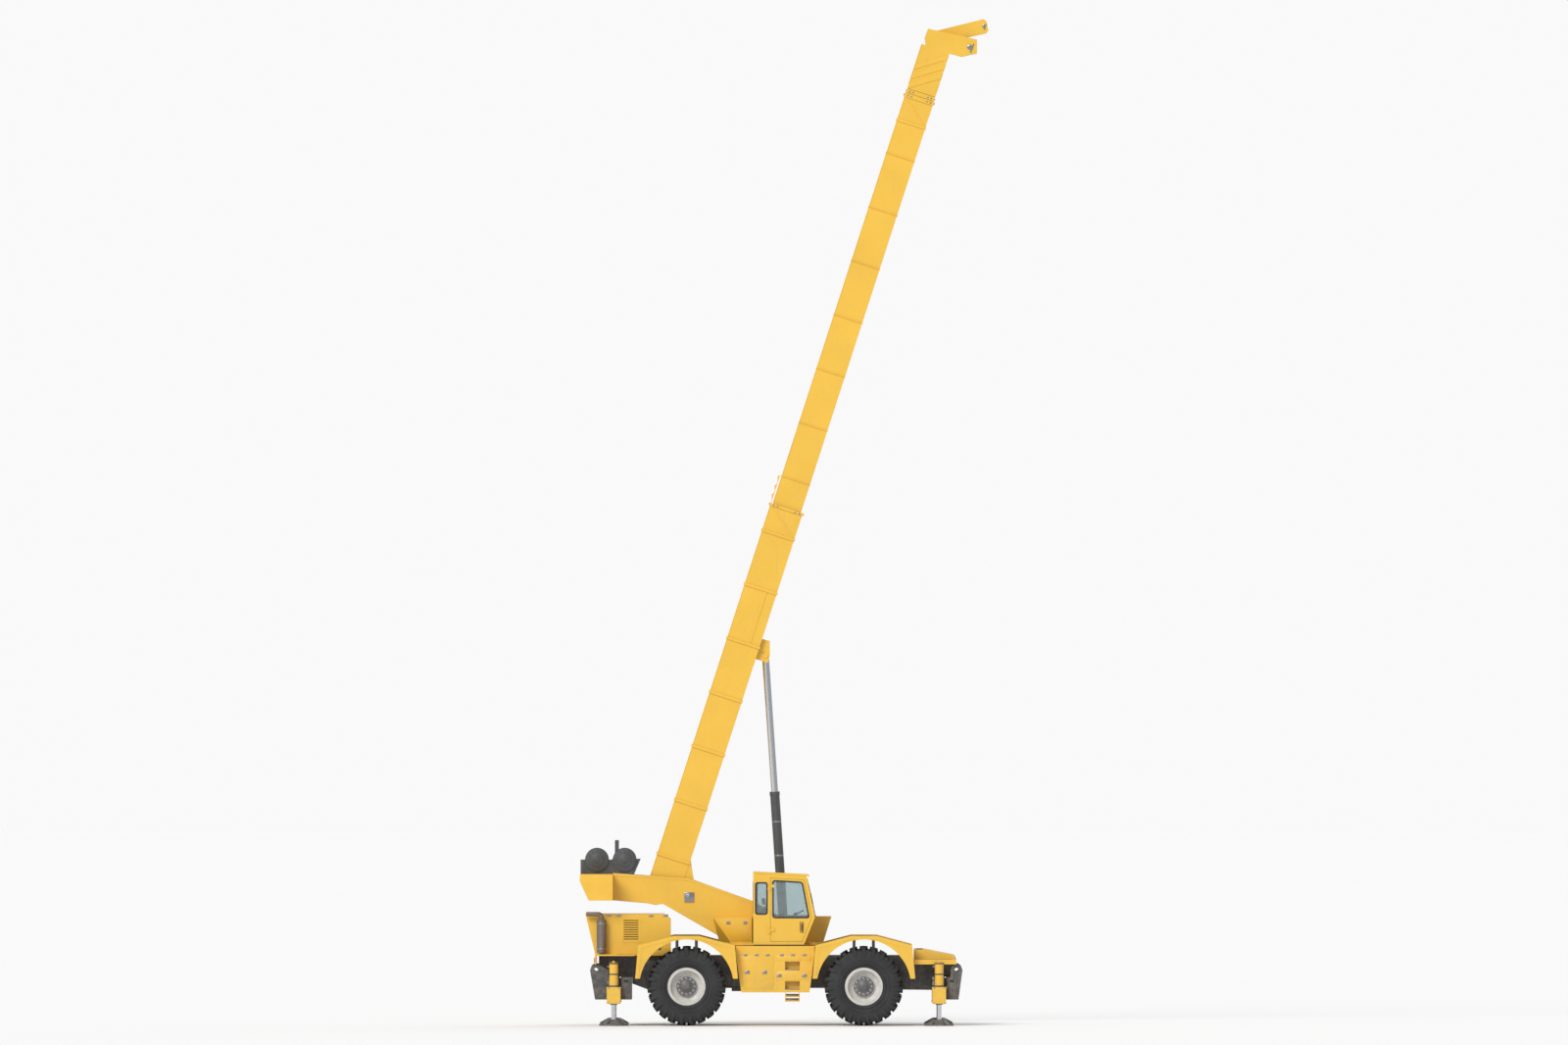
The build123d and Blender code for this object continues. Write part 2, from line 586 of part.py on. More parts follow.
# One lug: a slanted bar over half the tread that turns down the side wall. Its points, and those
# of the carcass, the rim and the knuckle, are y across the wheel and the radius.
lug_plane = Plane(
    origin=(0, 0, 0),
    x_dir=(-sin(radians(LUG_SLANT)), cos(radians(LUG_SLANT)), 0),
    z_dir=(cos(radians(LUG_SLANT)), sin(radians(LUG_SLANT)), 0),
)
with BuildPart() as lug:
    with BuildSketch(lug_plane):
        with BuildLine():
            Polyline(
                (12.0, TREAD_RADIUS - 20),
                (12.0, TYRE_RADIUS - 2),
                (CARCASS_HALF - 20, TYRE_RADIUS - 5),
                (TYRE_WIDTH / 2 + 2, TREAD_RADIUS - 50),
                (CARCASS_HALF - 10, LUG_INNER_RADIUS),
                close=True,
            )
        make_face()
    extrude(amount=LUG_WIDTH / 2, both=True)

# One stretch of the carcass, as long as the pitch of the lugs
pitch = 360.0 / LUGS_A_SIDE
sector_half = tan(radians(pitch / 2))
with BuildPart() as sector:
    with BuildSketch(Plane.YZ):
        with BuildLine():
            Polyline(
                (-BEAD_HALF, BEAD_RADIUS),
                (-BEAD_HALF, FLANGE_RADIUS + 6),
                (-CARCASS_HALF, 545.0),
                (-CARCASS_HALF + 32, TREAD_RADIUS - 12),
                (CARCASS_HALF - 32, TREAD_RADIUS - 12),
                (CARCASS_HALF, 545.0),
                (BEAD_HALF, FLANGE_RADIUS + 6),
                (BEAD_HALF, BEAD_RADIUS),
                close=True,
            )
        make_face()
    extrude(amount=TYRE_RADIUS * sector_half, both=True)
    with BuildSketch(Plane.XZ):
        with BuildLine():
            Polyline((0, 0), (TYRE_RADIUS * sector_half, TYRE_RADIUS),
                     (-TYRE_RADIUS * sector_half, TYRE_RADIUS), close=True)
        make_face()
    extrude(amount=TYRE_WIDTH, both=True, mode=Mode.INTERSECT)

# Tyre: the stretches of carcass with a staggered row of lugs on each side
with BuildPart() as tyre:
    for i in range(LUGS_A_SIDE):
        with Locations(Location((0, 0, 0), (0, i * pitch, 0))):
            add(sector.part)
        with Locations(Location((0, 0, 0), (0, (i + 0.25) * pitch, 0)),
                       Location((0, 0, 0), (0, (i - 0.25) * pitch, 180))):
            add(lug.part)

# Rim: barrel, flanges, dished disc and hub, with a blind bore for the spindle
RIM_SEAT = BEAD_RADIUS - PIN_GAP
RIM_HALF = BEAD_HALF + PIN_GAP + FLANGE_THICKNESS
with BuildPart() as rim:
    with BuildSketch(Plane.YZ):
        with BuildLine():
            Polyline(
                (-RIM_HALF, RIM_SEAT - RIM_THICKNESS),
                (-RIM_HALF, FLANGE_RADIUS),
                (-RIM_HALF + FLANGE_THICKNESS, FLANGE_RADIUS),
                (-RIM_HALF + FLANGE_THICKNESS, RIM_SEAT),
                (RIM_HALF - FLANGE_THICKNESS, RIM_SEAT),
                (RIM_HALF - FLANGE_THICKNESS, FLANGE_RADIUS),
                (RIM_HALF, FLANGE_RADIUS),
                (RIM_HALF, RIM_SEAT - RIM_THICKNESS),
                close=True,
            )
        make_face()
        with BuildLine():
            Polyline(
                (-RIM_HALF + 170, 0),
                (-RIM_HALF + 70, 0),
                (-RIM_HALF + 70, HUB_CAP_RADIUS),
                (-RIM_HALF + 90, HUB_CAP_RADIUS + 25),
                (-RIM_HALF + 100, HUB_RADIUS),
                (-RIM_HALF + 140, HUB_RADIUS),
                (-RIM_HALF + 110, RIM_SEAT - RIM_THICKNESS + 1),
                (-RIM_HALF + 130, RIM_SEAT - RIM_THICKNESS + 1),
                (-RIM_HALF + 165, HUB_RADIUS + 10),
                (-RIM_HALF + 215, HUB_RADIUS - 30),
                (-RIM_HALF + 215, SPINDLE_RADIUS + PIN_GAP),
                (-RIM_HALF + 170, SPINDLE_RADIUS + PIN_GAP),
                close=True,
            )
        make_face()
    revolve(axis=Axis.Y)

# Knuckle: king pins, body and spindle with the brake housing, drawn round the wheel's middle
with BuildPart() as knuckle:
    with Locations((0, KING_OFFSET, 0)):
        Cylinder(YOKE_HALF_LENGTH, 2 * KNUCKLE_HALF_HEIGHT)
        Cylinder(KING_PIN_RADIUS, 2 * (KNUCKLE_HALF_HEIGHT + 5 + YOKE_ARM))
    with BuildSketch(Plane.YZ):
        with BuildLine():
            Polyline(
                (-RIM_HALF + 170 + PIN_GAP, 0),
                (-RIM_HALF + 170 + PIN_GAP, SPINDLE_RADIUS),
                (-RIM_HALF + 215 + RUN_GAP, SPINDLE_RADIUS),
                (-RIM_HALF + 215 + RUN_GAP, HUB_RADIUS - 30),
                (130.0, HUB_RADIUS - 30),
                (150.0, SPINDLE_RADIUS),
                (KING_OFFSET - 60, SPINDLE_RADIUS),
                (KING_OFFSET - 60, 0),
                close=True,
            )
        make_face()
    revolve(axis=Axis.Y)
    with Locations((-150.0, KING_OFFSET - 90, 0)):
        Box(220.0, 60.0, 50.0)

for corner, end, hand in CORNERS:
    turn = 0 if hand < 0 else 180
    spot = Location((SWING_X + end * HALF_BASE, hand * WHEEL_Y, AXLE_Z), (0, 0, turn))
    for node, source in (("tyre", tyre), ("rim", rim), ("knuckle", knuckle)):
        with BuildPart() as wheel_piece:
            with Locations(spot):
                add(source.part)
        wheel_piece.part.label = f"{node}_{corner}"
        export_step(wheel_piece.part, f"parts/{node}_{corner}.step")

# Outrigger beams with their jack barrels, and the jack rods with their floats
for corner, end, hand in CORNERS:
    jack_x, other_x = PAIRS[1] if end > 0 else PAIRS[0]
    beam_x = jack_x if hand < 0 else other_x
    half = BEAM_WIDTH / 2
    jack_half = JACK_HOUSING / 2
    with BuildPart() as beam:
        along = sorted((hand * (BEAM_TIP - BEAM_LENGTH), hand * BEAM_TIP))
        block((beam_x - half, beam_x + half), along, (BEAM_LOW, BEAM_HIGH))
        inner = sorted((hand * (BEAM_TIP - BEAM_LENGTH), hand * (BEAM_TIP - BEAM_WALL)))
        block((beam_x - half + BEAM_WALL, beam_x + half - BEAM_WALL), inner,
              (BEAM_LOW + BEAM_WALL, BEAM_HIGH - BEAM_WALL), mode=Mode.SUBTRACT)
        pad = RUN_GAP - PIN_GAP
        ends = sorted((hand * (BEAM_TIP - BEAM_LENGTH), hand * (BEAM_TIP - BEAM_LENGTH + PAD_LENGTH)))
        middle = (BEAM_LOW + BEAM_HIGH) / 2
        for z_low, z_high in ((BEAM_LOW - pad, BEAM_LOW), (BEAM_HIGH, BEAM_HIGH + pad)):
            block((beam_x - half + 20, beam_x + half - 20), ends, (z_low, z_high))
        for x_low in (beam_x - half - pad, beam_x + half):
            block((x_low, x_low + pad), ends, (middle - 120, middle + 120))
        jack_y = hand * JACK_Y
        block((jack_x - jack_half, jack_x + jack_half), (jack_y - jack_half, jack_y + jack_half),
              (JACK_HOUSING_LOW, JACK_HOUSING_HIGH))
        for band in (JACK_HOUSING_LOW, JACK_HOUSING_HIGH - 30):
            block((jack_x - jack_half - 7, jack_x + jack_half + 7),
                  (jack_y - jack_half + 2, jack_y + jack_half + 7), (band, band + 30))
        if beam_x > jack_x:
            link = sorted((hand * BEAM_TIP, hand * (JACK_Y + jack_half)))
            block((jack_x + jack_half, beam_x + half), link, (BEAM_LOW, JACK_HOUSING_HIGH))
        post(jack_x, jack_y, JACK_BARREL_RADIUS, JACK_HOUSING_HIGH, JACK_TOP)
        post(jack_x, jack_y, 26.0, JACK_TOP, JACK_TOP + 30)
        post(jack_x, jack_y, JACK_ROD_RADIUS + PIN_GAP, JACK_HOUSING_LOW, JACK_TOP - 16,
             mode=Mode.SUBTRACT)
    beam.part.label = f"beam_{corner}"
    export_step(beam.part, f"parts/beam_{corner}.step")

    with BuildPart() as jack_rod:
        post(jack_x, jack_y, JACK_ROD_RADIUS, FLOAT_THICKNESS, JACK_ROD_TOP)
        post(jack_x, jack_y, FLOAT_RADIUS, 0, FLOAT_THICKNESS)
        rise = FLOAT_CONE_HIGH - FLOAT_THICKNESS
        with Locations((SWING_X + jack_x, jack_y, FLOAT_THICKNESS + rise / 2)):
            Cone(FLOAT_RADIUS - 70, 121.0, rise)
    jack_rod.part.label = f"jack_{corner}"
    export_step(jack_rod.part, f"parts/jack_{corner}.step")

# Turntable frame: an octagonal base, two boom plates, the boom pivot bosses and the bracket
# of the lift cylinder. The base's outline is x and y, the plates' is x and z.
TABLE_OUTLINE = [(-1154.0, -500.0), (-911.0, -TABLE_HALF), (826.0, -TABLE_HALF), (998.0, -500.0),
                 (998.0, 500.0), (826.0, TABLE_HALF), (-911.0, TABLE_HALF), (-1154.0, 500.0)]
BOOM_PLATE = [(-3351.0, 3141.0), (-2645.0, 3088.0), (-1776.0, 3027.0), (-456.0, 2554.0),
              (430.0, 2050.0), (480.0, TABLE_TOP), (-1100.0, TABLE_TOP), (-1205.0, 1863.0),
              (-2321.0, 2505.0), (-2483.0, 2481.0), (-2633.0, 2515.0), (-3351.0, 2576.0)]
with BuildPart() as turntable_frame:
    plan(TABLE_OUTLINE, TABLE_LOW, TABLE_TOP)
    block((-400.0, 560.0), (-1120.0, -TABLE_HALF + 10), (TABLE_LOW, CAB_LOW))
    block((CAB_REAR_X - RUN_GAP, 700.0), (-1200.0, CAB_INNER_Y + RUN_GAP), (CAB_LOW, TABLE_TOP),
          mode=Mode.SUBTRACT)
    for hand in (-1, 1):
        y_low, y_high = sorted((hand * PLATE_INNER, hand * PLATE_OUTER))
        slab(BOOM_PLATE, y_low, y_high)
        boss = sorted((hand * PLATE_OUTER, hand * (PLATE_OUTER + 15)))
        half = PIVOT_BOSS / 2
        block((PIVOT_X - half, PIVOT_X + half), boss, (PIVOT_Z - half, PIVOT_Z + half))
        y_low, y_high = sorted((hand * 115.0, hand * 155.0))
        bracket = [(-20.0, TABLE_TOP), (392.0, TABLE_TOP), (290.0, LIFT_BASE_Z),
                   (82.0, LIFT_BASE_Z)]
        slab(bracket, y_low, y_high)
        cross_bar(LIFT_BASE_X, LIFT_BASE_Z, 110.0, y_low, y_high)
    cross_bar(PIVOT_X, PIVOT_Z, PIVOT_PIN_RADIUS + PIN_GAP, -450.0, 450.0, mode=Mode.SUBTRACT)
    cross_bar(LIFT_BASE_X, LIFT_BASE_Z, LIFT_PIN_RADIUS, -165.0, 165.0)
    block((-3351.0, -3300.0), (-PLATE_INNER, PLATE_INNER), (2576.0, 3130.0))
    slab([(-2150.0, 2407.0), (-1205.0, 1863.0), (-1190.0, 1888.0), (-2136.0, 2432.0)],
         -PLATE_INNER, PLATE_INNER)
    block((-1150.0, -1100.0), (-PLATE_INNER, PLATE_INNER), (TABLE_TOP, 1840.0))
turntable_frame.part.label = "turntable_frame"
export_step(turntable_frame.part, "parts/turntable_frame.step")

# Fairings each side of the boom plates: tapering lockers with their lower corners cut back
FAIRING_SIDE = [(-1154.0, TABLE_TOP), (998.0, TABLE_TOP), (1162.0, FAIRING_TOP),
                (-1286.0, FAIRING_TOP)]
with BuildPart() as turntable_fairing:
    slab(FAIRING_SIDE, PLATE_OUTER, FAIRING_TOP_HALF)
    slab([(-1154.0, TABLE_TOP), (-480.0, TABLE_TOP), (-480.0, FAIRING_TOP), (-1286.0, FAIRING_TOP)],
         -FAIRING_TOP_HALF, -PLATE_OUTER)
    for hand in (-1, 1):
        low = Vector(SWING_X, hand * TABLE_HALF, TABLE_TOP)
        high = Vector(SWING_X, hand * FAIRING_TOP_HALF, FAIRING_TOP)
        flank = Plane(low, x_dir=(hand, 0, 0), z_dir=Vector(hand, 0, 0).cross(high - low))
        split(bisect_by=flank, keep=Keep.TOP)
        for end_x, side_x, top_x in ((-1154.0, -911.0, -1286.0), (998.0, 826.0, 1162.0)):
            a = Vector(SWING_X + end_x, hand * 500.0, TABLE_TOP)
            b = Vector(SWING_X + side_x, hand * TABLE_HALF, TABLE_TOP)
            c = Vector(SWING_X + top_x, hand * FAIRING_TOP_HALF, FAIRING_TOP)
            normal = (b - a).cross(c - a)
            outward = Vector(end_x, hand * 500.0, 0)
            if normal.dot(outward) < 0:
                normal = normal * -1
            split(bisect_by=Plane(a, x_dir=b - a, z_dir=normal), keep=Keep.BOTTOM)
turntable_fairing.part.label = "turntable_fairing"
export_step(turntable_fairing.part, "parts/turntable_fairing.step")

# Counterweight behind the boom plates
with BuildPart() as counterweight:
    outline = [(-4020.0, 3121.0), (-4038.0, 2987.0), (-3850.0, 2578.0), (-3351.0, 2578.0),
               (-3351.0, 3121.0)]
    slab(outline, -WEIGHT_HALF, WEIGHT_HALF)
counterweight.part.label = "counterweight"
export_step(counterweight.part, "parts/counterweight.step")

# Winch frame: a plate each side for both drums, and a rope guide post
with BuildPart() as winch_frame:
    for hand in (-1, 1):
        y_low, y_high = sorted((hand * PLATE_INNER, hand * PLATE_OUTER))
        slab([(-4020.0, 3121.0), (-4020.0, DRUM_Z), (-3362.0, DRUM_Z), (-2778.0, DRUM_Z + 20),
              (-2916.0, 3108.35), (-3351.0, 3141.0), (-3351.0, 3121.0)], y_low, y_high)
        for x in (DRUM_REAR_X, DRUM_FRONT_X):
            cross_bar(x, DRUM_Z, 95.0, y_low, y_high)
            cross_bar(x, DRUM_Z, DRUM_SHAFT_RADIUS + PIN_GAP, y_low, y_high, mode=Mode.SUBTRACT)
        slab([(-3392.0, 3392.0), (-3311.0, 3500.0), (-3311.0, 3815.0), (-3230.0, 3815.0),
              (-3230.0, 3392.0)], y_low, y_high)
    cross_bar(-3270.0, 3780.0, 20.0, -PLATE_INNER, PLATE_INNER)
    block((-4020.0, -3980.0), (-PLATE_INNER, PLATE_INNER), (3121.0, 3180.0))
winch_frame.part.label = "winch_frame"
export_step(winch_frame.part, "parts/winch_frame.step")

# Winch drums: barrel, inner flanges, shaft and an end disc outside each plate
for node, drum_x in (("winch_drum_rear", DRUM_REAR_X), ("winch_drum_front", DRUM_FRONT_X)):
    with BuildPart() as drum:
        inner_face = PLATE_INNER - RUN_GAP
        cross_bar(drum_x, DRUM_Z, DRUM_RADIUS, -inner_face, inner_face)
        cross_bar(drum_x, DRUM_Z, DRUM_SHAFT_RADIUS, -PLATE_OUTER - 30, PLATE_OUTER + 30)
        for hand in (-1, 1):
            flange = sorted((hand * (inner_face - 20), hand * inner_face))
            cross_bar(drum_x, DRUM_Z, DRUM_DISC_RADIUS - 6, *flange)
            disc = sorted((hand * (PLATE_OUTER + RUN_GAP), hand * (PLATE_OUTER + 30)))
            cross_bar(drum_x, DRUM_Z, DRUM_DISC_RADIUS, *disc)
    drum.part.label = node
    export_step(drum.part, f"parts/{node}.step")


def pane(points, y, corner, gap=PIN_GAP):
    """A sheet of glass for a side window, centred in the wall whose middle is at y."""
    with BuildSketch(side(y + GLASS / 2)) as glass:
        with BuildLine():
            Polyline(*points, close=True)
        make_face()
        fillet(glass.vertices(), radius=corner)
        offset(amount=-gap)
    extrude(glass.sketch, amount=GLASS)


def screen(plane, width, height, corner, depth, gap=0, mode=Mode.ADD):
    """A rounded sheet or opening on a tilted plane, as deep each way as stated."""
    with BuildSketch(plane) as opening:
        RectangleRounded(width - 2 * gap, height - 2 * gap, corner)
    extrude(opening.sketch, amount=depth, both=True, mode=mode)


# Cab: outline, openings and where the glass goes, each as x and z seen from the side
FRONT_LOW_X = 593.0
CAB_OUTLINE = [(CAB_REAR_X, CAB_LOW), (FRONT_LOW_X, CAB_LOW), (CAB_BELT_X, CAB_BELT_Z),
               (646.0, CAB_ROOF_FRONT), (CAB_REAR_X, CAB_ROOF_REAR)]
DOOR_OUTLINE = [(DOOR_REAR_X, 1735.0), (560.0, 1735.0), (758.0, CAB_BELT_Z), (598.0, 3010.0),
                (DOOR_REAR_X, 3055.0)]
DOOR_WINDOW = [(-50.0, 2225.0), (704.0, 2225.0), (560.0, 2960.0), (-50.0, 2997.0)]
QUARTER_WINDOW = [(-405.0, 2300.0), (-165.0, 2300.0), (-165.0, 2950.0), (-405.0, 2950.0)]
INNER_WINDOW = [(-380.0, 2250.0), (700.0, 2250.0), (560.0, 2980.0), (-380.0, 3020.0)]
CAB_MIDDLE_Y = (CAB_INNER_Y + CAB_OUTER_Y) / 2
CAB_WIDTH = CAB_INNER_Y - CAB_OUTER_Y
FRONT_LEAN = degrees(atan2(CAB_BELT_X - 646.0, CAB_ROOF_FRONT - CAB_BELT_Z))
FRONT_LENGTH = hypot(CAB_BELT_X - 646.0, CAB_ROOF_FRONT - CAB_BELT_Z)
half_wall = CAB_WALL / 2
front_normal = (cos(radians(FRONT_LEAN)), 0, sin(radians(FRONT_LEAN)))
front_plane = Plane(
    origin=(
        SWING_X + (CAB_BELT_X + 646.0) / 2 - half_wall * front_normal[0],
        CAB_MIDDLE_Y,
        (CAB_BELT_Z + CAB_ROOF_FRONT) / 2 - half_wall * front_normal[2],
    ),
    x_dir=(0, 1, 0),
    z_dir=front_normal,
)
rear_plane = Plane(
    origin=(SWING_X + CAB_REAR_X + half_wall, CAB_MIDDLE_Y, 2640.0),
    x_dir=(0, 1, 0),
    z_dir=(1, 0, 0),
)
HINGE_X = DOOR_REAR_X - 4
HINGE_Y = CAB_OUTER_Y - 16
HINGE_HEIGHTS = (1950.0, 2850.0)
HINGE_PIN = 8.0
HINGE_RADIUS = 14.0

with BuildPart() as cab_side_walls:
    slab(CAB_OUTLINE, CAB_OUTER_Y, CAB_OUTER_Y + CAB_WALL)
    slab(CAB_OUTLINE, CAB_INNER_Y - CAB_WALL, CAB_INNER_Y)
    slab(DOOR_OUTLINE, CAB_OUTER_Y - 1, CAB_OUTER_Y + CAB_WALL + 1, mode=Mode.SUBTRACT)
    slab(QUARTER_WINDOW, CAB_OUTER_Y - 1, CAB_OUTER_Y + CAB_WALL + 1, mode=Mode.SUBTRACT,
         corner=40)
    slab(INNER_WINDOW, CAB_INNER_Y - CAB_WALL - 1, CAB_INNER_Y + 1, mode=Mode.SUBTRACT,
         corner=40)
    for z in HINGE_HEIGHTS:
        for low, high in ((z - 52, z - 2), (z + 62, z + 112)):
            post(HINGE_X, HINGE_Y, HINGE_RADIUS, low, high)
            block((HINGE_X - 55, HINGE_X - 8), (HINGE_Y - 6, CAB_OUTER_Y), (low, high))
        post(HINGE_X, HINGE_Y, HINGE_PIN, z - 10, z + 70)
cab_side_walls.part.label = "cab_side_walls"
export_step(cab_side_walls.part, "parts/cab_side_walls.step")

# Front and rear frames of the cab, between its side walls, with their window openings
cab_inside = (CAB_OUTER_Y + CAB_WALL, CAB_INNER_Y - CAB_WALL)
floor_top = CAB_LOW + CAB_WALL
sill_x = FRONT_LOW_X + CAB_WALL * (CAB_BELT_X - FRONT_LOW_X) / (CAB_BELT_Z - CAB_LOW)
lean = CAB_WALL / cos(radians(FRONT_LEAN))
header_low = CAB_ROOF_FRONT - CAB_WALL
header_x = 646.0 + CAB_WALL * tan(radians(FRONT_LEAN))
roof_slope = (CAB_ROOF_REAR - CAB_ROOF_FRONT) / (header_x - CAB_REAR_X)
with BuildPart() as cab_end_frames:
    slab([(sill_x, floor_top), (CAB_BELT_X, CAB_BELT_Z), (header_x, header_low),
          (header_x - lean, header_low + lean * roof_slope), (CAB_BELT_X - lean, CAB_BELT_Z),
          (sill_x - lean, floor_top)], *cab_inside)
    rear_low = CAB_ROOF_REAR - CAB_WALL
    slab([(CAB_REAR_X, floor_top), (CAB_REAR_X + CAB_WALL, floor_top),
          (CAB_REAR_X + CAB_WALL, rear_low - CAB_WALL * roof_slope), (CAB_REAR_X, rear_low)],
         *cab_inside)
    screen(front_plane, CAB_WIDTH - 130, FRONT_LENGTH - 130, 40, CAB_WALL, mode=Mode.SUBTRACT)
    screen(rear_plane, CAB_WIDTH - 170, 620, 40, CAB_WALL, mode=Mode.SUBTRACT)
cab_end_frames.part.label = "cab_end_frames"
export_step(cab_end_frames.part, "parts/cab_end_frames.step")

# Floor and roof of the cab; the roof has a cap that stands out over the walls
with BuildPart() as cab_floor_roof:
    slab([(CAB_REAR_X, CAB_LOW), (FRONT_LOW_X, CAB_LOW), (sill_x, floor_top),
          (CAB_REAR_X, floor_top)], *cab_inside)
    slab([(CAB_REAR_X, rear_low), (header_x, header_low), (646.0, CAB_ROOF_FRONT),
          (CAB_REAR_X, CAB_ROOF_REAR)], *cab_inside)
    slab([(CAB_REAR_X, CAB_ROOF_REAR), (CAB_REAR_X, CAB_ROOF_REAR + 29), (699.0, 3119.0),
          (699.0, 3066.0), (682.0, 3066.0), (670.0, CAB_ROOF_FRONT), (646.0, CAB_ROOF_FRONT)],
         CAB_OUTER_Y - 10, CAB_INNER_Y + 10)
cab_floor_roof.part.label = "cab_floor_roof"
export_step(cab_floor_roof.part, "parts/cab_floor_roof.step")

# Glass of the cab: front, rear, quarter and inner panes
with BuildPart() as cab_glass:
    pane(QUARTER_WINDOW, CAB_OUTER_Y + half_wall, 40)
    pane(INNER_WINDOW, CAB_INNER_Y - half_wall, 40)
    screen(front_plane, CAB_WIDTH - 130, FRONT_LENGTH - 130, 40, GLASS / 2, gap=PIN_GAP)
    screen(rear_plane, CAB_WIDTH - 170, 620, 40, GLASS / 2, gap=PIN_GAP)
cab_glass.part.label = "cab_glass"
export_step(cab_glass.part, "parts/cab_glass.step")

# Operator's chair on its pedestal
FLOOR = CAB_LOW + CAB_WALL
with BuildPart() as cab_chair:
    block((-130.0, 190.0), (CAB_MIDDLE_Y - 150, CAB_MIDDLE_Y + 150), (FLOOR, 1960.0))
    slab([(-190.0, 1960.0), (280.0, 1960.0), (300.0, 2075.0), (-150.0, 2045.0)],
         CAB_MIDDLE_Y - 240, CAB_MIDDLE_Y + 240)
    slab([(-250.0, 2000.0), (-130.0, 2040.0), (-215.0, 2640.0), (-300.0, 2640.0)],
         CAB_MIDDLE_Y - 225, CAB_MIDDLE_Y + 225)
cab_chair.part.label = "cab_chair"
export_step(cab_chair.part, "parts/cab_chair.step")

# Controls: a front console with its column and wheel, and two side consoles with levers
with BuildPart() as cab_controls:
    slab([(430.0, FLOOR), (560.0, FLOOR), (620.0, 2060.0), (560.0, 2200.0), (480.0, 2170.0)],
         CAB_OUTER_Y + 120, CAB_INNER_Y - 120)
    with BuildSketch(Plane((SWING_X + 520.0, CAB_MIDDLE_Y, 2120.0), x_dir=(0, 1, 0),
                           z_dir=(-0.5, 0, 0.866))) as column:
        Circle(22)
    extrude(column.sketch, amount=190)
    wheel_plane = Plane((SWING_X + 430.0, CAB_MIDDLE_Y, 2277.0), x_dir=(0, 1, 0),
                        z_dir=(-0.5, 0, 0.866))
    with BuildSketch(wheel_plane) as wheel_ring:
        Circle(185)
        Circle(160, mode=Mode.SUBTRACT)
        for spoke in (0, 60, 120):
            with Locations(Location((0, 0, 0), spoke)):
                Rectangle(330, 24)
    extrude(wheel_ring.sketch, amount=22)
    for y in (CAB_MIDDLE_Y - 285, CAB_MIDDLE_Y + 285):
        block((-160.0, 240.0), (y - 35, y + 35), (FLOOR, 2150.0))
        post(180.0, y, 9.0, 2150.0, 2300.0)
        post(180.0, y, 22.0, 2290.0, 2340.0)
cab_controls.part.label = "cab_controls"
export_step(cab_controls.part, "parts/cab_controls.step")

# Door: panel with its window cut, handle and hinge barrels
DOOR_THICKNESS = 40.0
with BuildPart() as door_panel:
    with BuildSketch(side(CAB_OUTER_Y + DOOR_THICKNESS)) as leaf:
        with BuildLine():
            Polyline(*DOOR_OUTLINE, close=True)
        make_face()
        offset(amount=-DOOR_GAP, kind=Kind.INTERSECTION)
    extrude(leaf.sketch, amount=DOOR_THICKNESS)
    slab(DOOR_WINDOW, CAB_OUTER_Y - 1, CAB_OUTER_Y + DOOR_THICKNESS + 1, mode=Mode.SUBTRACT,
         corner=45)
    block((514.0, 581.0), (CAB_OUTER_Y - 6, CAB_OUTER_Y), (1924.0, 2136.0))
    block((538.0, 557.0), (CAB_OUTER_Y - 40, CAB_OUTER_Y - 26), (1940.0, 2120.0))
    for z in (1940.0, 2096.0):
        block((538.0, 557.0), (CAB_OUTER_Y - 40, CAB_OUTER_Y), (z, z + 24))
    for z in HINGE_HEIGHTS:
        post(HINGE_X, HINGE_Y, HINGE_RADIUS, z, z + 60)
        block((HINGE_X, HINGE_X + 90), (HINGE_Y - 6, HINGE_Y + 2), (z, z + 60))
        block((HINGE_X + 30, HINGE_X + 90), (HINGE_Y - 6, CAB_OUTER_Y), (z, z + 60))
        post(HINGE_X, HINGE_Y, HINGE_PIN + PIN_GAP, z, z + 60, mode=Mode.SUBTRACT)
door_panel.part.label = "door_panel"
export_step(door_panel.part, "parts/door_panel.step")

with BuildPart() as door_glass:
    pane(DOOR_WINDOW, CAB_OUTER_Y + DOOR_THICKNESS / 2, 45)
door_glass.part.label = "door_glass"
export_step(door_glass.part, "parts/door_glass.step")


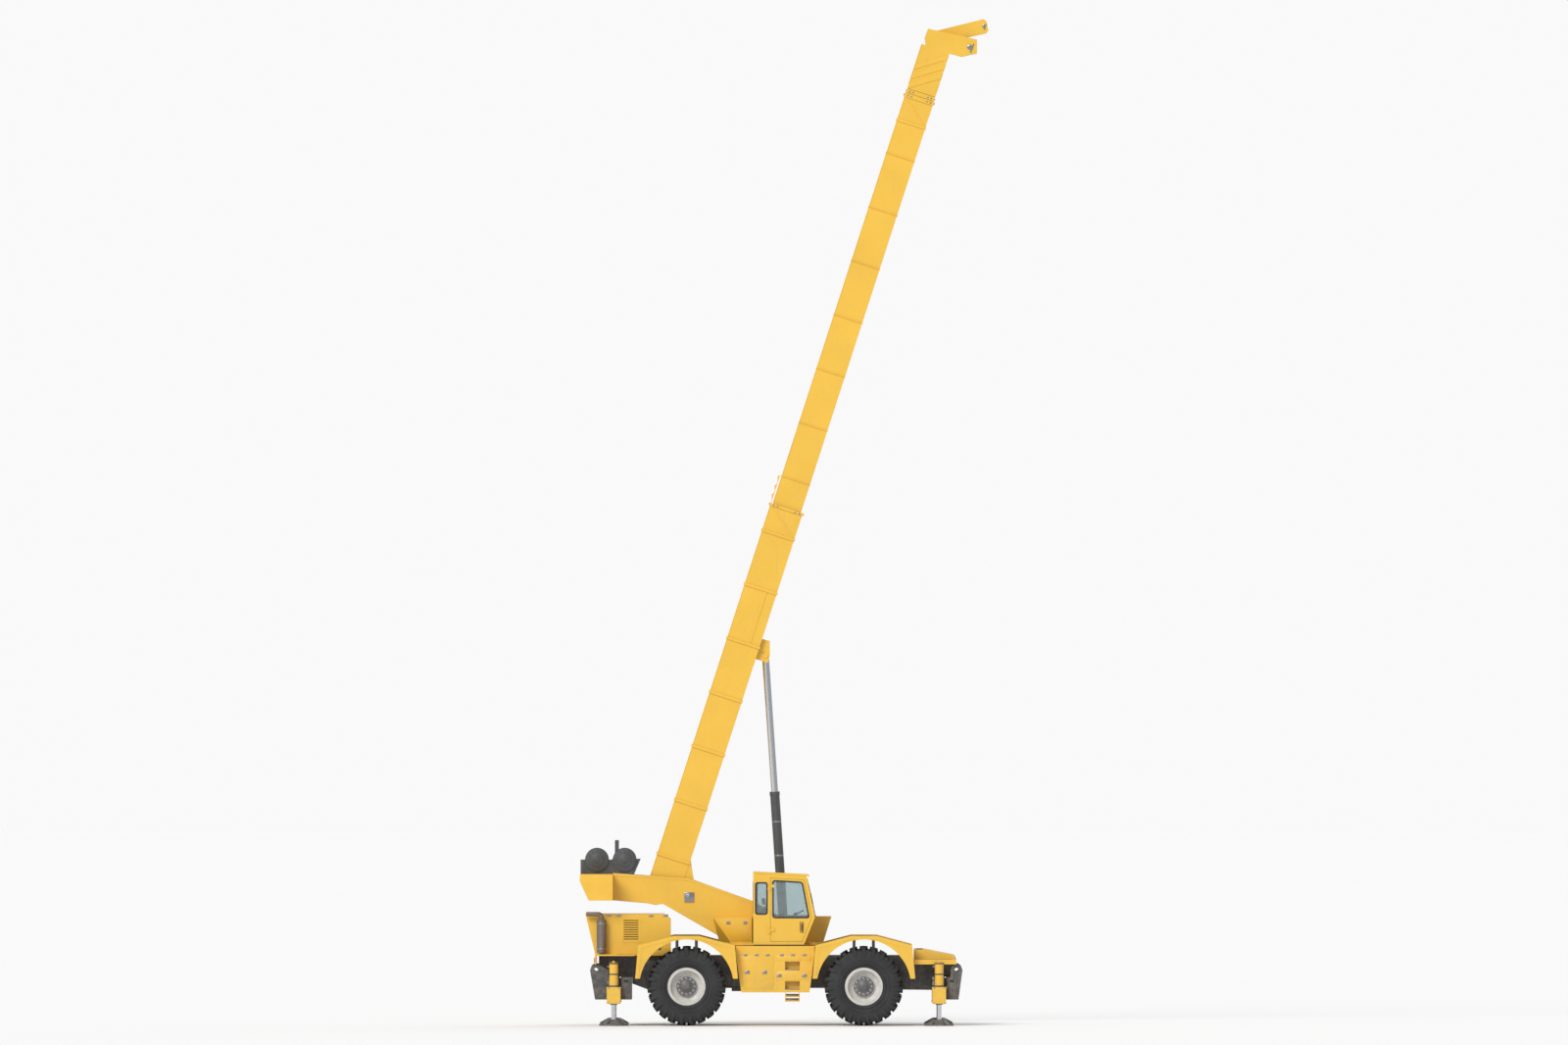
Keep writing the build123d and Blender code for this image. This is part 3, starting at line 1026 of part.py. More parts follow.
# Base section of the boom: hooped box tube, pivot ears, cylinder bracket and end collar
BASE_HEIGHT = BASE_HIGH - BASE_LOW
BASE_HOLE = (BASE_WIDTH - 2 * BASE_WALL, BASE_HEIGHT - 2 * BASE_WALL)
BASE_RINGS = (632.0, 1802.0, 2973.0, 4143.0, 5314.0, 6484.0, 7654.0)
RING_LENGTH = 53.0
with BuildPart() as boom_base:
    boom_tube(BASE_FOOT, BASE_END, BASE_WIDTH, BASE_HEIGHT)
    for s in BASE_RINGS:
        boom_tube(s, s + RING_LENGTH, BASE_WIDTH + 2 * RING_PROUD, BASE_HEIGHT + 2 * RING_PROUD)
    boom_tube(BASE_END - 54, BASE_END, BASE_WIDTH + 2 * RING_PROUD, BASE_HEIGHT + 2 * RING_PROUD)
    boom_tube(BASE_FOOT, BASE_FOOT + 50, BASE_WIDTH + 30, BASE_HEIGHT + 30)
    for hand in (-1, 1):
        y_low, y_high = sorted((hand * (BASE_WIDTH / 2 - 70), hand * BASE_WIDTH / 2))
        boom_slab([(BASE_FOOT, BASE_LOW + 5), (-130.0, -60.0), (-60.0, -110.0), (105.0, -110.0),
                   (760.0, BASE_LOW + 5)], y_low, y_high)
        face = hand * BASE_WIDTH / 2
        y_low, y_high = sorted((face, face + hand * 10))
        boom_slab([(BASE_END - 64, 880.0), (BASE_END - 34, 870.0), (BASE_END - 564, 225.0),
                   (BASE_END - 592, 235.0)], y_low, y_high)
        boom_slab([(5366.0, 407.0), (6484.0, 407.0), (6484.0, 467.0), (5366.0, 467.0)],
                  y_low, y_high)
        y_low, y_high = sorted((hand * 90.0, hand * 135.0))
        boom_slab([(5536.0, BASE_LOW + 2), (5542.0, 41.0), (5259.0, -51.0), (5100.0, -55.0),
                   (5100.0, BASE_LOW + 2)], y_low, y_high)
        y_low, y_high = sorted((hand * 135.0, hand * 150.0))
        boom_bar(LIFT_EYE_S, LIFT_EYE_T, LIFT_PIN_RADIUS, y_low, y_high)
    boom_tube(BASE_FOOT - 1, BASE_END + 1, *BASE_HOLE, mode=Mode.SUBTRACT)
    boom_slab([(BASE_FOOT, 520.0), (BASE_FOOT - 70, 540.0), (BASE_FOOT - 115, 620.0),
               (BASE_FOOT - 70, 720.0), (BASE_FOOT, 760.0), (BASE_FOOT + 20, 760.0),
               (BASE_FOOT + 20, 520.0)], -130.0, 130.0)
    for y in (-BASE_WIDTH / 2 + 30, BASE_WIDTH / 2 - 40):
        boom_slab([(BASE_FOOT, BASE_LOW + 5), (BASE_FOOT + 20, BASE_LOW + 5),
                   (BASE_FOOT + 20, BASE_HIGH - 5), (BASE_FOOT, BASE_HIGH - 5)], y, y + 10)
    boom_slab([(BASE_FOOT, 500.0), (BASE_FOOT + 20, 500.0), (BASE_FOOT + 20, 780.0),
               (BASE_FOOT, 780.0)], -BASE_WIDTH / 2 + 5, BASE_WIDTH / 2 - 5)
    cross_bar(PIVOT_X, PIVOT_Z, PIVOT_PIN_RADIUS, -PLATE_OUTER - 15, PLATE_OUTER + 15)
    teeth_end = BASE_END + 606
    boom_slab([(BASE_END - 20, BASE_HIGH - 5), (teeth_end, BASE_HIGH - 5),
               (teeth_end, BASE_HIGH + 8), (BASE_END - 20, BASE_HIGH + 8)], -150.0, 150.0)
    for i in range(3):
        s = BASE_END + 66 + 194 * i
        boom_slab([(s, BASE_HIGH + 5), (s + 150, BASE_HIGH + 5), (s + 110, BASE_HIGH + 40)],
                  -150.0, 150.0)
boom_base.part.label = "boom_base"
export_step(boom_base.part, "parts/boom_base.step")

# Second section: hooped tube drawn right out, with pads at its inner end
SECOND_RINGS = (8857.0, 10024.0, 11198.0, 12367.0, 13537.0, 14702.0, 15876.0)
SECOND_HOLE = (SECOND_WIDTH - 2 * TUBE_WALL, SECOND_HEIGHT - 2 * TUBE_WALL)
with BuildPart() as boom_second:
    boom_tube(SECOND_START, SECOND_END, SECOND_WIDTH, SECOND_HEIGHT)
    bands = [(s, 16.0) for s in SECOND_RINGS] + [(16578.0, RING_LENGTH),
                                                 (SECOND_END - COLLAR, COLLAR)]
    for s, length in bands:
        boom_tube(s, s + length, SECOND_WIDTH + 2 * SECOND_RING_PROUD,
                  SECOND_HEIGHT + 2 * SECOND_RING_PROUD)
    for hand in (-1, 1):
        face = hand * SECOND_WIDTH / 2
        y_low, y_high = sorted((face, face + hand * 10))
        boom_slab([(SECOND_END - 82, 840.0), (SECOND_END - 52, 830.0),
                   (SECOND_END - 542, 270.0), (SECOND_END - 572, 280.0)], y_low, y_high)
    boom_tube(SECOND_START, SECOND_START + 200, BASE_HOLE[0] - 2 * PIN_GAP,
              BASE_HOLE[1] - 2 * PIN_GAP)
    boom_tube(SECOND_START - 1, SECOND_END + 1, *SECOND_HOLE, mode=Mode.SUBTRACT)
    boom_tube(SECOND_END - 150, SECOND_END, SECOND_HOLE[0] + 2, SECOND_HOLE[1] + 2,
              THIRD_WIDTH + 2 * PIN_GAP, THIRD_HEIGHT + 2 * PIN_GAP)
boom_second.part.label = "boom_second"
export_step(boom_second.part, "parts/boom_second.step")

# Third section: rests inside the second with its front collar showing
THIRD_HOLE = (THIRD_WIDTH - 2 * TUBE_WALL, THIRD_HEIGHT - 2 * TUBE_WALL)
THIRD_END = SECOND_END + 8 + COLLAR
with BuildPart() as boom_third:
    boom_tube(THIRD_START, THIRD_END, THIRD_WIDTH, THIRD_HEIGHT)
    boom_tube(SECOND_END + 8, THIRD_END, SECOND_WIDTH, SECOND_HEIGHT)
    boom_tube(THIRD_START, THIRD_START + 200, SECOND_HOLE[0] - 2 * PIN_GAP,
              SECOND_HOLE[1] - 2 * PIN_GAP)
    boom_tube(THIRD_START - 1, THIRD_END + 1, *THIRD_HOLE, mode=Mode.SUBTRACT)
    boom_tube(THIRD_END - 150, THIRD_END, THIRD_HOLE[0] + 2, THIRD_HOLE[1] + 2,
              FOURTH_WIDTH + 2 * PIN_GAP, FOURTH_HEIGHT + 2 * PIN_GAP)
boom_third.part.label = "boom_third"
export_step(boom_third.part, "parts/boom_third.step")

# Head section: tube, full-size neck with slanting bands, and the sheave head. Outlines are s
# along the boom and t above the pivot's line.
HEAD_PLATE = [(HEAD_START, 771.0), (HEAD_START - 10, 259.0), (HEAD_START, -10.0),
              (18408.0, -293.0), (18680.0, -205.0), (18584.0, 828.0), (18383.0, 838.0)]
HEAD_WEB = [(HEAD_START, 771.0), (HEAD_START - 10, 259.0), (18300.0, 60.0), (18655.0, 60.0),
            (18584.0, 828.0), (18383.0, 838.0)]
SHEAVE_S, SHEAVE_T = 18480.0, -110.0
HEAD_HALF = SECOND_WIDTH / 2
with BuildPart() as boom_head:
    boom_tube(FOURTH_START, HEAD_START, FOURTH_WIDTH, FOURTH_HEIGHT)
    boom_tube(THIRD_END + 8, HEAD_START, SECOND_WIDTH, SECOND_HEIGHT)
    boom_tube(FOURTH_START, FOURTH_START + 200, THIRD_HOLE[0] - 2 * PIN_GAP,
              THIRD_HOLE[1] - 2 * PIN_GAP)
    for hand in (-1, 1):
        y_low, y_high = sorted((hand * HEAD_HALF, hand * (HEAD_HALF + 12)))
        for i in range(3):
            back = -205.0 * i
            left = max(17696.0 + back, THIRD_END + 8)
            boom_slab([(left, 840.0), (17818.0 + back, 840.0), (18174.0 + back, 315.0),
                       (18172.0 + back, 260.0), (18060.0 + back, 260.0), (18063.0 + back, 300.0)],
                      y_low, y_high)
        y_low, y_high = sorted((hand * 150.0, hand * HEAD_HALF))
        boom_slab(HEAD_PLATE, y_low, y_high)
    boom_slab(HEAD_WEB, -150.0, 150.0)
    boom_tube(FOURTH_START - 1, HEAD_START - 40, FOURTH_WIDTH - 2 * TUBE_WALL,
              FOURTH_HEIGHT - 2 * TUBE_WALL, mode=Mode.SUBTRACT)
    boom_bar(SHEAVE_S, SHEAVE_T, SHEAVE_PIN_RADIUS, -HEAD_HALF - 15, HEAD_HALF + 15)
boom_head.part.label = "boom_head"
export_step(boom_head.part, "parts/boom_head.step")

# Auxiliary nose on the front of the head
NOSE_SHEAVE_S, NOSE_SHEAVE_T = 18985.0, -250.0
with BuildPart() as boom_nose:
    boom_slab([(18601.5, 640.0), (19124.0, -197.0), (19107.0, -269.0), (18938.0, -370.0),
               (18860.0, -349.0), (18661.5, -6.0)], -NOSE_HALF, NOSE_HALF)
    boom_slab([(18600.0, -130.0), (19300.0, -130.0), (19300.0, -500.0), (18600.0, -500.0)],
              -45.0, 45.0, mode=Mode.SUBTRACT)
    boom_bar(NOSE_SHEAVE_S, NOSE_SHEAVE_T, 20.0, -NOSE_HALF - 10, NOSE_HALF + 10)
boom_nose.part.label = "boom_nose"
export_step(boom_nose.part, "parts/boom_nose.step")


def sheave_wheel(s, t, radius, bore, centres, width, hub):
    """Grooved sheaves side by side on one hub, turned about a pin across the boom."""
    x, z = boom_point(s, t)
    middle = Plane((SWING_X + x, 0, z), x_dir=(0, 1, 0), z_dir=(1, 0, 0))
    with BuildSketch(middle) as half_section:
        with BuildLine():
            Polyline((-hub, bore), (hub, bore), (hub, bore + 18), (-hub, bore + 18), close=True)
        make_face()
        for y in centres:
            with BuildLine():
                Polyline((y - width / 2, bore), (y + width / 2, bore), (y + width / 2, radius),
                         (y + width / 5, radius - 22), (y - width / 5, radius - 22),
                         (y - width / 2, radius), close=True)
            make_face()
    revolve(half_section.sketch, axis=Axis((SWING_X + x, 0, z), (0, 1, 0)))


with BuildPart() as head_sheaves:
    sheave_wheel(SHEAVE_S, SHEAVE_T, SHEAVE_RADIUS, SHEAVE_PIN_RADIUS + PIN_GAP,
                 (-90.0, 0.0, 90.0), 60.0, 144.0)
head_sheaves.part.label = "head_sheaves"
export_step(head_sheaves.part, "parts/head_sheaves.step")

with BuildPart() as nose_sheave:
    sheave_wheel(NOSE_SHEAVE_S, NOSE_SHEAVE_T, NOSE_SHEAVE_RADIUS, 20.0 + PIN_GAP,
                 (0.0,), 60.0, 39.0)
nose_sheave.part.label = "nose_sheave"
export_step(nose_sheave.part, "parts/nose_sheave.step")

# Lift cylinder: both pieces lie on the line from the base pin to the bracket on the boom
eye_x, eye_z = boom_point(LIFT_EYE_S, LIFT_EYE_T)
LIFT_LENGTH = hypot(eye_x - LIFT_BASE_X, eye_z - LIFT_BASE_Z)
LIFT_ANGLE = atan2(eye_z - LIFT_BASE_Z, eye_x - LIFT_BASE_X)
lift_along = (cos(LIFT_ANGLE), 0, sin(LIFT_ANGLE))


def lift_bar(start, end, radius, mode=Mode.ADD):
    """A round stretch of the cylinder between two distances from its base pin."""
    origin = (SWING_X + LIFT_BASE_X + start * lift_along[0], 0, LIFT_BASE_Z + start * lift_along[2])
    with BuildSketch(Plane(origin, x_dir=(0, 1, 0), z_dir=lift_along)) as profile:
        Circle(radius)
    extrude(profile.sketch, amount=end - start, mode=mode)


LIFT_BORE = LIFT_BARREL_RADIUS - 13.5
with BuildPart() as lift_barrel:
    lift_bar(60.0, LIFT_BARREL_LENGTH, LIFT_BARREL_RADIUS)
    cross_bar(LIFT_BASE_X, LIFT_BASE_Z, 104.0, -105.0, 105.0)
    lift_bar(LIFT_BARREL_LENGTH - 70, LIFT_BARREL_LENGTH, LIFT_BARREL_RADIUS + 8)
    lift_bar(150.0, LIFT_BARREL_LENGTH - 60, LIFT_BORE, mode=Mode.SUBTRACT)
    lift_bar(150.0, LIFT_BARREL_LENGTH, LIFT_ROD_RADIUS + PIN_GAP, mode=Mode.SUBTRACT)
    cross_bar(LIFT_BASE_X, LIFT_BASE_Z, LIFT_PIN_RADIUS + PIN_GAP, -106.0, 106.0,
              mode=Mode.SUBTRACT)
lift_barrel.part.label = "lift_barrel"
export_step(lift_barrel.part, "parts/lift_barrel.step")

with BuildPart() as lift_rod:
    lift_bar(2610.0, 2680.0, LIFT_BORE - PIN_GAP)
    lift_bar(2610.0, LIFT_LENGTH - 50, LIFT_ROD_RADIUS)
    lift_bar(LIFT_LENGTH - 415, LIFT_LENGTH - 395, LIFT_ROD_RADIUS + 8)
    cross_bar(eye_x, eye_z, 78.0, -80.0, 80.0)
lift_rod.part.label = "lift_rod"
export_step(lift_rod.part, "parts/lift_rod.step")
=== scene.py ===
from math import cos, pi, radians, sin

import bpy
from mathutils import Matrix, Vector


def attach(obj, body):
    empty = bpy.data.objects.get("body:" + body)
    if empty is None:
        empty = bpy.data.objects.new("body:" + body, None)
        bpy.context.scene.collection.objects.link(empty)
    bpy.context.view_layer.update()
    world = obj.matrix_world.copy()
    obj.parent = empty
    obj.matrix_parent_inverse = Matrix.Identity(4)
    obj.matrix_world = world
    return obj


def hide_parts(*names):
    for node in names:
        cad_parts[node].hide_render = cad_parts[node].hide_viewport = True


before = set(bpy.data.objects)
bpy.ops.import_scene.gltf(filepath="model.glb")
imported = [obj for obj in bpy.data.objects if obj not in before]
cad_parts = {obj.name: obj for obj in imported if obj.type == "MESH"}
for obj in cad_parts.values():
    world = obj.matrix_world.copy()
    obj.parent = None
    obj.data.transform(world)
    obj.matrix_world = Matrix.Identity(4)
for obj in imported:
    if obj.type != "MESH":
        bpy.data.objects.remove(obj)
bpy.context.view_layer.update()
bpy.ops.object.select_all(action="DESELECT")

# Camera: the drawing is a side view with no perspective, so a very long lens stands far off on
# the right side of the crane and looks straight across it.
camera_data = bpy.data.cameras.new("camera")
camera_data.lens = 800
camera_data.sensor_width = 36
camera_data.clip_start = 50
camera_data.clip_end = 3000
camera = bpy.data.objects.new("camera", camera_data)
camera.location = (-0.003, -720, 10.378)
camera.rotation_euler = (radians(90), 0, 0)
bpy.context.collection.objects.link(camera)
bpy.context.scene.camera = camera
bpy.context.scene.view_settings.view_transform = "Standard"

# Studio: a broad pale floor, an even sky, one soft key lamp from the front and one weak fill
# from behind. The camera sees the same white beyond the floor.
def wire(node, values):
    """Sets a shader node's inputs: a socket is linked, anything else is a uniform value."""
    for name, value in values.items():
        if isinstance(value, bpy.types.NodeSocket):
            node.id_data.links.new(value, node.inputs[name])
        else:
            node.inputs[name].default_value = value


def grow(finish, kind, values, **settings):
    """Adds a shader node to a finish and wires it."""
    node = finish.node_tree.nodes.new(f"ShaderNode{kind}")
    for setting, value in settings.items():
        setattr(node, setting, value)
    wire(node, values)
    return node


def new_finish(name, values):
    """A material, its main shader with some values set, and the place that patterns read."""
    finish = bpy.data.materials.new(name)
    finish.use_nodes = True
    shader = finish.node_tree.nodes["Principled BSDF"]
    wire(shader, values)
    return finish, shader, grow(finish, "TexCoord", {}).outputs["Object"]


bpy.ops.mesh.primitive_plane_add(size=900, location=(0, 0, 0))
studio_floor = bpy.context.object
studio_floor.name = "studio_floor"
floor_finish, _, _ = new_finish("floor_finish", {
    "Base Color": (0.985, 0.97, 0.95, 1), "Roughness": 0.9, "Specular IOR Level": 0.1})
studio_floor.data.materials.append(floor_finish)

for lamp_name, strength, spread, aim in (
    ("key_lamp", 2.1, 28, (0.42, 0.78, -0.62)),
    ("fill_lamp", 0.75, 50, (-0.5, -0.7, -0.55)),
):
    lamp_data = bpy.data.lights.new(lamp_name, "SUN")
    lamp_data.energy = strength
    lamp_data.angle = radians(spread)
    lamp = bpy.data.objects.new(lamp_name, lamp_data)
    lamp.rotation_euler = Vector(aim).to_track_quat("-Z", "Y").to_euler()
    bpy.context.collection.objects.link(lamp)

sky = bpy.data.worlds.new("sky")
bpy.context.scene.world = sky
sky.use_nodes = True
sky.node_tree.nodes.clear()
sky_light = grow(sky, "Background", {"Color": (0.93, 0.96, 1.0, 1), "Strength": 0.5})
sky_seen = grow(sky, "Background", {"Color": (0.95, 0.948, 0.95, 1)})
sky_ray = grow(sky, "LightPath", {}).outputs["Is Camera Ray"]
sky_mix = grow(sky, "MixShader", {"Fac": sky_ray, 1: sky_light.outputs[0], 2: sky_seen.outputs[0]})
grow(sky, "OutputWorld", {"Surface": sky_mix.outputs[0]})


# Paint of the crane: two coats on steel, a little orange peel, road dust that gathers low down
# and thin dirt streaks that run down the sides.
def crane_paint(name, colour, dust=0.5, gloss=0.35, metal=0.0):
    """A coat with its own dust, gloss and, for bare metal, shine."""
    finish, shader, place = new_finish(name, {
        "Metallic": metal, "Coat Weight": 0.18 if metal == 0 else 0.0, "Coat Roughness": 0.32})
    # slow drift of the colour over a panel
    cloud = grow(finish, "TexNoise", {"Vector": place, "Scale": 1.3, "Detail": 5})
    drift = grow(finish, "Mix", {
        "Factor": cloud.outputs["Fac"], "A": (*[c * 0.86 for c in colour], 1),
        "B": (*[min(1, c * 1.06) for c in colour], 1)}, data_type="RGBA")
    # dust: thick near the ground, gone above head height, and in patches
    height = grow(finish, "SeparateXYZ", {0: place})
    low_down = grow(finish, "MapRange", {"Value": height.outputs["Z"], "From Min": 0.1,
                                         "From Max": 2.1, "To Min": 0.85, "To Max": 0.1})
    specks = grow(finish, "TexNoise", {"Vector": place, "Scale": 9, "Detail": 8,
                                       "Roughness": 0.65})
    patchy = grow(finish, "MapRange", {"Value": specks.outputs["Fac"], "From Min": 0.4,
                                       "From Max": 0.72})
    # thin streaks that run straight down
    stretch = grow(finish, "Mapping", {"Vector": place, "Scale": (14, 14, 0.8)})
    runs = grow(finish, "TexNoise", {"Vector": stretch.outputs["Vector"], "Scale": 1,
                                     "Detail": 4})
    streaks = grow(finish, "MapRange", {"Value": runs.outputs["Fac"], "From Min": 0.6,
                                        "From Max": 0.78, "To Max": 0.35})
    dirt = grow(finish, "Math", {0: low_down.outputs[0], 1: patchy.outputs[0],
                                 2: streaks.outputs[0]}, operation="MULTIPLY_ADD")
    amount = grow(finish, "Math", {0: dirt.outputs[0], 1: dust}, operation="MULTIPLY",
                  use_clamp=True)
    dusty = grow(finish, "Mix", {"Factor": amount.outputs[0], "A": drift.outputs["Result"],
                                 "B": (0.33, 0.27, 0.19, 1)}, data_type="RGBA")
    rough = grow(finish, "MapRange", {"Value": amount.outputs[0], "To Min": gloss,
                                      "To Max": min(1, gloss + 0.5)})
    # orange peel
    peel = grow(finish, "TexNoise", {"Vector": place, "Scale": 70, "Detail": 3})
    bump = grow(finish, "Bump", {"Strength": 0.12, "Distance": 0.004,
                                 "Height": peel.outputs["Fac"]})
    wire(shader, {"Base Color": dusty.outputs["Result"], "Roughness": rough.outputs[0],
                  "Normal": bump.outputs[0]})
    return finish


def dress(finish, *nodes):
    """Gives finished CAD pieces their material."""
    for node in nodes:
        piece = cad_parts[node]
        piece.data.materials.clear()
        piece.data.materials.append(finish)


yellow = crane_paint("yellow_paint", (0.83, 0.49, 0.045), dust=0.4)
charcoal = crane_paint("charcoal_paint", (0.055, 0.058, 0.062), dust=0.75, gloss=0.45)
dress(charcoal, "carrier_frame", "axle_housings", "drive_line", "engine_block", "swing_bearing",
      "outrigger_boxes", "tie_down_plates")
dress(yellow, "front_deck", "rear_deck", "centre_deck", "side_boxes", "fenders", "engine_hood")


# Deck coverings: sheets of black grit bonded to the tops of the decks and the fenders, so that
# a boot doesn't slip. Each is a thin plate with its edges eased.
def finish_shape(piece, name, ease=0.0):
    """Names a new piece, eases its sharp edges and sets its place in its mesh."""
    piece.name = name
    piece.data.name = name
    bpy.ops.object.transform_apply(location=True, rotation=True, scale=True)
    bpy.ops.object.mode_set(mode="EDIT")
    bpy.ops.mesh.select_all(action="SELECT")
    bpy.ops.mesh.remove_doubles(threshold=0.0002)
    bpy.ops.mesh.normals_make_consistent(inside=False)
    bpy.ops.object.mode_set(mode="OBJECT")
    if ease:
        edges = piece.modifiers.new("eased", "BEVEL")
        edges.width = ease
        edges.segments = 2
        edges.limit_method = "ANGLE"
        edges.angle_limit = radians(35)
        bpy.ops.object.modifier_apply(modifier="eased")
    bpy.ops.object.shade_smooth_by_angle(angle=radians(32))
    return piece


def plate(name, x, y, z, ease=0.003):
    """A plate or bar between two corners."""
    bpy.ops.object.select_all(action="DESELECT")
    bpy.ops.mesh.primitive_cube_add(
        size=1, location=((x[0] + x[1]) / 2, (y[0] + y[1]) / 2, (z[0] + z[1]) / 2))
    piece = bpy.context.object
    piece.scale = (abs(x[1] - x[0]), abs(y[1] - y[0]), abs(z[1] - z[0]))
    return finish_shape(piece, name, ease)


def outline_of(points, fill="NGON"):
    """A flat outline through the given points, left selected in edit mode."""
    bpy.ops.object.select_all(action="DESELECT")
    bpy.ops.mesh.primitive_circle_add(vertices=len(points), fill_type=fill)
    piece = bpy.context.object
    for vertex, point in zip(piece.data.vertices, points):
        vertex.co = point
    bpy.ops.object.mode_set(mode="EDIT")
    bpy.ops.mesh.select_all(action="SELECT")
    return piece


def side_sheet(name, outline, y_from, y_to, ease=0.003):
    """A sheet cut to an outline seen from the side, and as thick as from one y to the other."""
    piece = outline_of([(x, y_from, z) for x, z in outline])
    bpy.ops.mesh.extrude_region_move(TRANSFORM_OT_translate={"value": (0, y_to - y_from, 0)})
    bpy.ops.object.mode_set(mode="OBJECT")
    return finish_shape(piece, name, ease)


def join(name, pieces):
    """Welds pieces of one make into one."""
    bpy.ops.object.select_all(action="DESELECT")
    for piece in pieces:
        piece.select_set(True)
    bpy.context.view_layer.objects.active = pieces[0]
    if len(pieces) > 1:
        bpy.ops.object.join()
    pieces[0].name = name
    pieces[0].data.name = name
    return pieces[0]


def mount_piece(piece, finish, body):
    """Paints a piece and fixes it to what carries it."""
    piece.data.materials.clear()
    piece.data.materials.append(finish)
    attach(piece, body)
    return piece


def mirrored(piece, name):
    """The same piece for the other side of the machine."""
    twin = piece.copy()
    twin.data = piece.data.copy()
    twin.name = name
    bpy.context.collection.objects.link(twin)
    twin.data.transform(Matrix.Scale(-1, 4, (0, 1, 0)))
    twin.data.flip_normals()
    return twin


def mount_pair(name, pieces, finish, body):
    """Mounts pieces on the right side of the machine and their mirror image on the left."""
    right = mount_piece(join(f"{name}_right", pieces), finish, body)
    mount_piece(mirrored(right, f"{name}_left"), finish, body)


def coarse_finish(name, colour, grain, depth, rough, spread=0.25):
    """A matt finish with a grain of its own: grit, moulded plastic or rubber."""
    finish, shader, place = new_finish(name, {"Specular IOR Level": 0.35})
    fine = grow(finish, "TexNoise", {"Vector": place, "Scale": grain, "Detail": 4})
    broad = grow(finish, "TexNoise", {"Vector": place, "Scale": 2.7, "Detail": 6})
    tone = grow(finish, "Mix", {
        "Factor": broad.outputs["Fac"], "A": (*[c * (1 - spread) for c in colour], 1),
        "B": (*[min(1, c * (1 + spread) + 0.02) for c in colour], 1)}, data_type="RGBA")
    dull = grow(finish, "MapRange", {"Value": fine.outputs["Fac"], "To Min": max(0.0, rough - 0.12),
                                     "To Max": min(1.0, rough + 0.12)})
    bump = grow(finish, "Bump", {"Strength": 0.5, "Distance": depth, "Height": fine.outputs["Fac"]})
    wire(shader, {"Base Color": tone.outputs["Result"], "Roughness": dull.outputs[0],
                  "Normal": bump.outputs[0]})
    return finish


grit = coarse_finish("grit_sheet", (0.07, 0.07, 0.072), grain=260, depth=0.004, rough=0.85)
for name, sheets in (
    ("front", [((2.72, 2.86), (-0.93, 0.93), 1.569), ((2.70, 3.48), (-1.235, -1.0), 1.367),
               ((2.70, 3.48), (1.0, 1.235), 1.367)]),
    ("rear", [((-3.46, -3.12), (-1.235, -0.90), 1.468), ((-3.86, -3.12), (0.67, 1.235), 1.468)]),
    ("walk", [((-0.85, 0.48), (-1.235, -0.90), 1.645), ((-0.85, 0.48), (0.90, 1.235), 1.645)]),
):
    grips = [plate("grip", x, y, (z, z + 0.004), 0.001) for x, y, z in sheets]
    mount_piece(join(f"{name}_grip_sheets", grips), grit, "carrier")

# Side boxes: sheet steel tanks and lockers under the walkway. Each side has two wide doors with
# butt hinges along the top and a pair of recessed latches, and steps to climb up by.
def bolt_row(name, spots, axis, size=0.02, high=0.012, sides=6):
    """Hexagon heads at the given spots, standing along an axis."""
    bpy.ops.object.select_all(action="DESELECT")
    turn = Vector(axis).to_track_quat("Z", "Y").to_euler()
    bpy.ops.mesh.primitive_cylinder_add(vertices=sides, radius=size, depth=high, rotation=turn)
    head = bpy.context.object
    finish_shape(head, name, 0.12 * size)
    heads = [head]
    for spot in spots:
        twin = head.copy()
        twin.data = head.data.copy()
        twin.data.transform(Matrix.Translation(Vector(spot)))
        bpy.context.collection.objects.link(twin)
        heads.append(twin)
    bpy.data.objects.remove(head)
    return join(name, heads[1:])


# Painted shade: a near-black matt finish for flat sheets that stand for the shade inside openings,
# behind the hood louvres and in the tube cap slots.
painted_shade_black = coarse_finish("painted_shade_black", (0.03, 0.03, 0.03), grain=90, depth=0.001, rough=0.8)
bare_steel = crane_paint("bare_steel", (0.32, 0.32, 0.33), dust=0.3, gloss=0.3, metal=0.9)
door_skins = [
    side_sheet("door_skin", outline, -1.2495, -1.2555, ease) for outline, ease in (
        ([(-0.925, 1.45), (-0.215, 1.45), (-0.215, 0.75), (-0.835, 0.75)], 0.003),
        ([(-0.155, 1.45), (0.575, 1.45), (0.56, 1.345), (-0.155, 1.345)], 0.002),
        ([(-0.155, 1.125), (0.53, 1.125), (0.506, 0.94), (-0.155, 0.94)], 0.002))]
mount_pair("side_door_skins", door_skins, yellow, "carrier")
latches = []
for x, z in ((-0.40, 1.10), (-0.76, 1.10), (0.42, 1.03), (-0.10, 1.03)):
    latches.append(plate("latch_dish", (x - 0.05, x + 0.05), (-1.2500, -1.2600),
                         (z - 0.035, z + 0.035), 0.006))
    latches.append(plate("latch_pull", (x - 0.032, x + 0.032), (-1.2590, -1.2680),
                         (z - 0.012, z + 0.012), 0.004))
for x in (-0.80, -0.57, -0.34, -0.05, 0.18, 0.42):
    latches.append(plate("hinge_leaf", (x - 0.04, x + 0.04), (-1.2500, -1.2590),
                         (1.435, 1.475), 0.002))
mount_pair("side_box_latches", latches, bare_steel, "carrier")

# Step treads: open-toothed steel bars across the floor of each pocket and on the hung step.
treads = []
for z in (1.144, 0.739, 0.610, 0.520):
    for k in range(4):
        y = -1.235 + 0.035 * k
        treads.append(plate("tread_bar", (0.022, 0.317), (y - 0.004, y + 0.004),
                            (z, z + 0.014), 0.001))
    for k in range(9):
        x = 0.035 + 0.0335 * k
        treads.append(plate("tread_tooth", (x - 0.004, x + 0.004), (-1.242, -1.125),
                            (z, z + 0.018), 0.001))
mount_pair("step_treads", treads, bare_steel, "carrier")
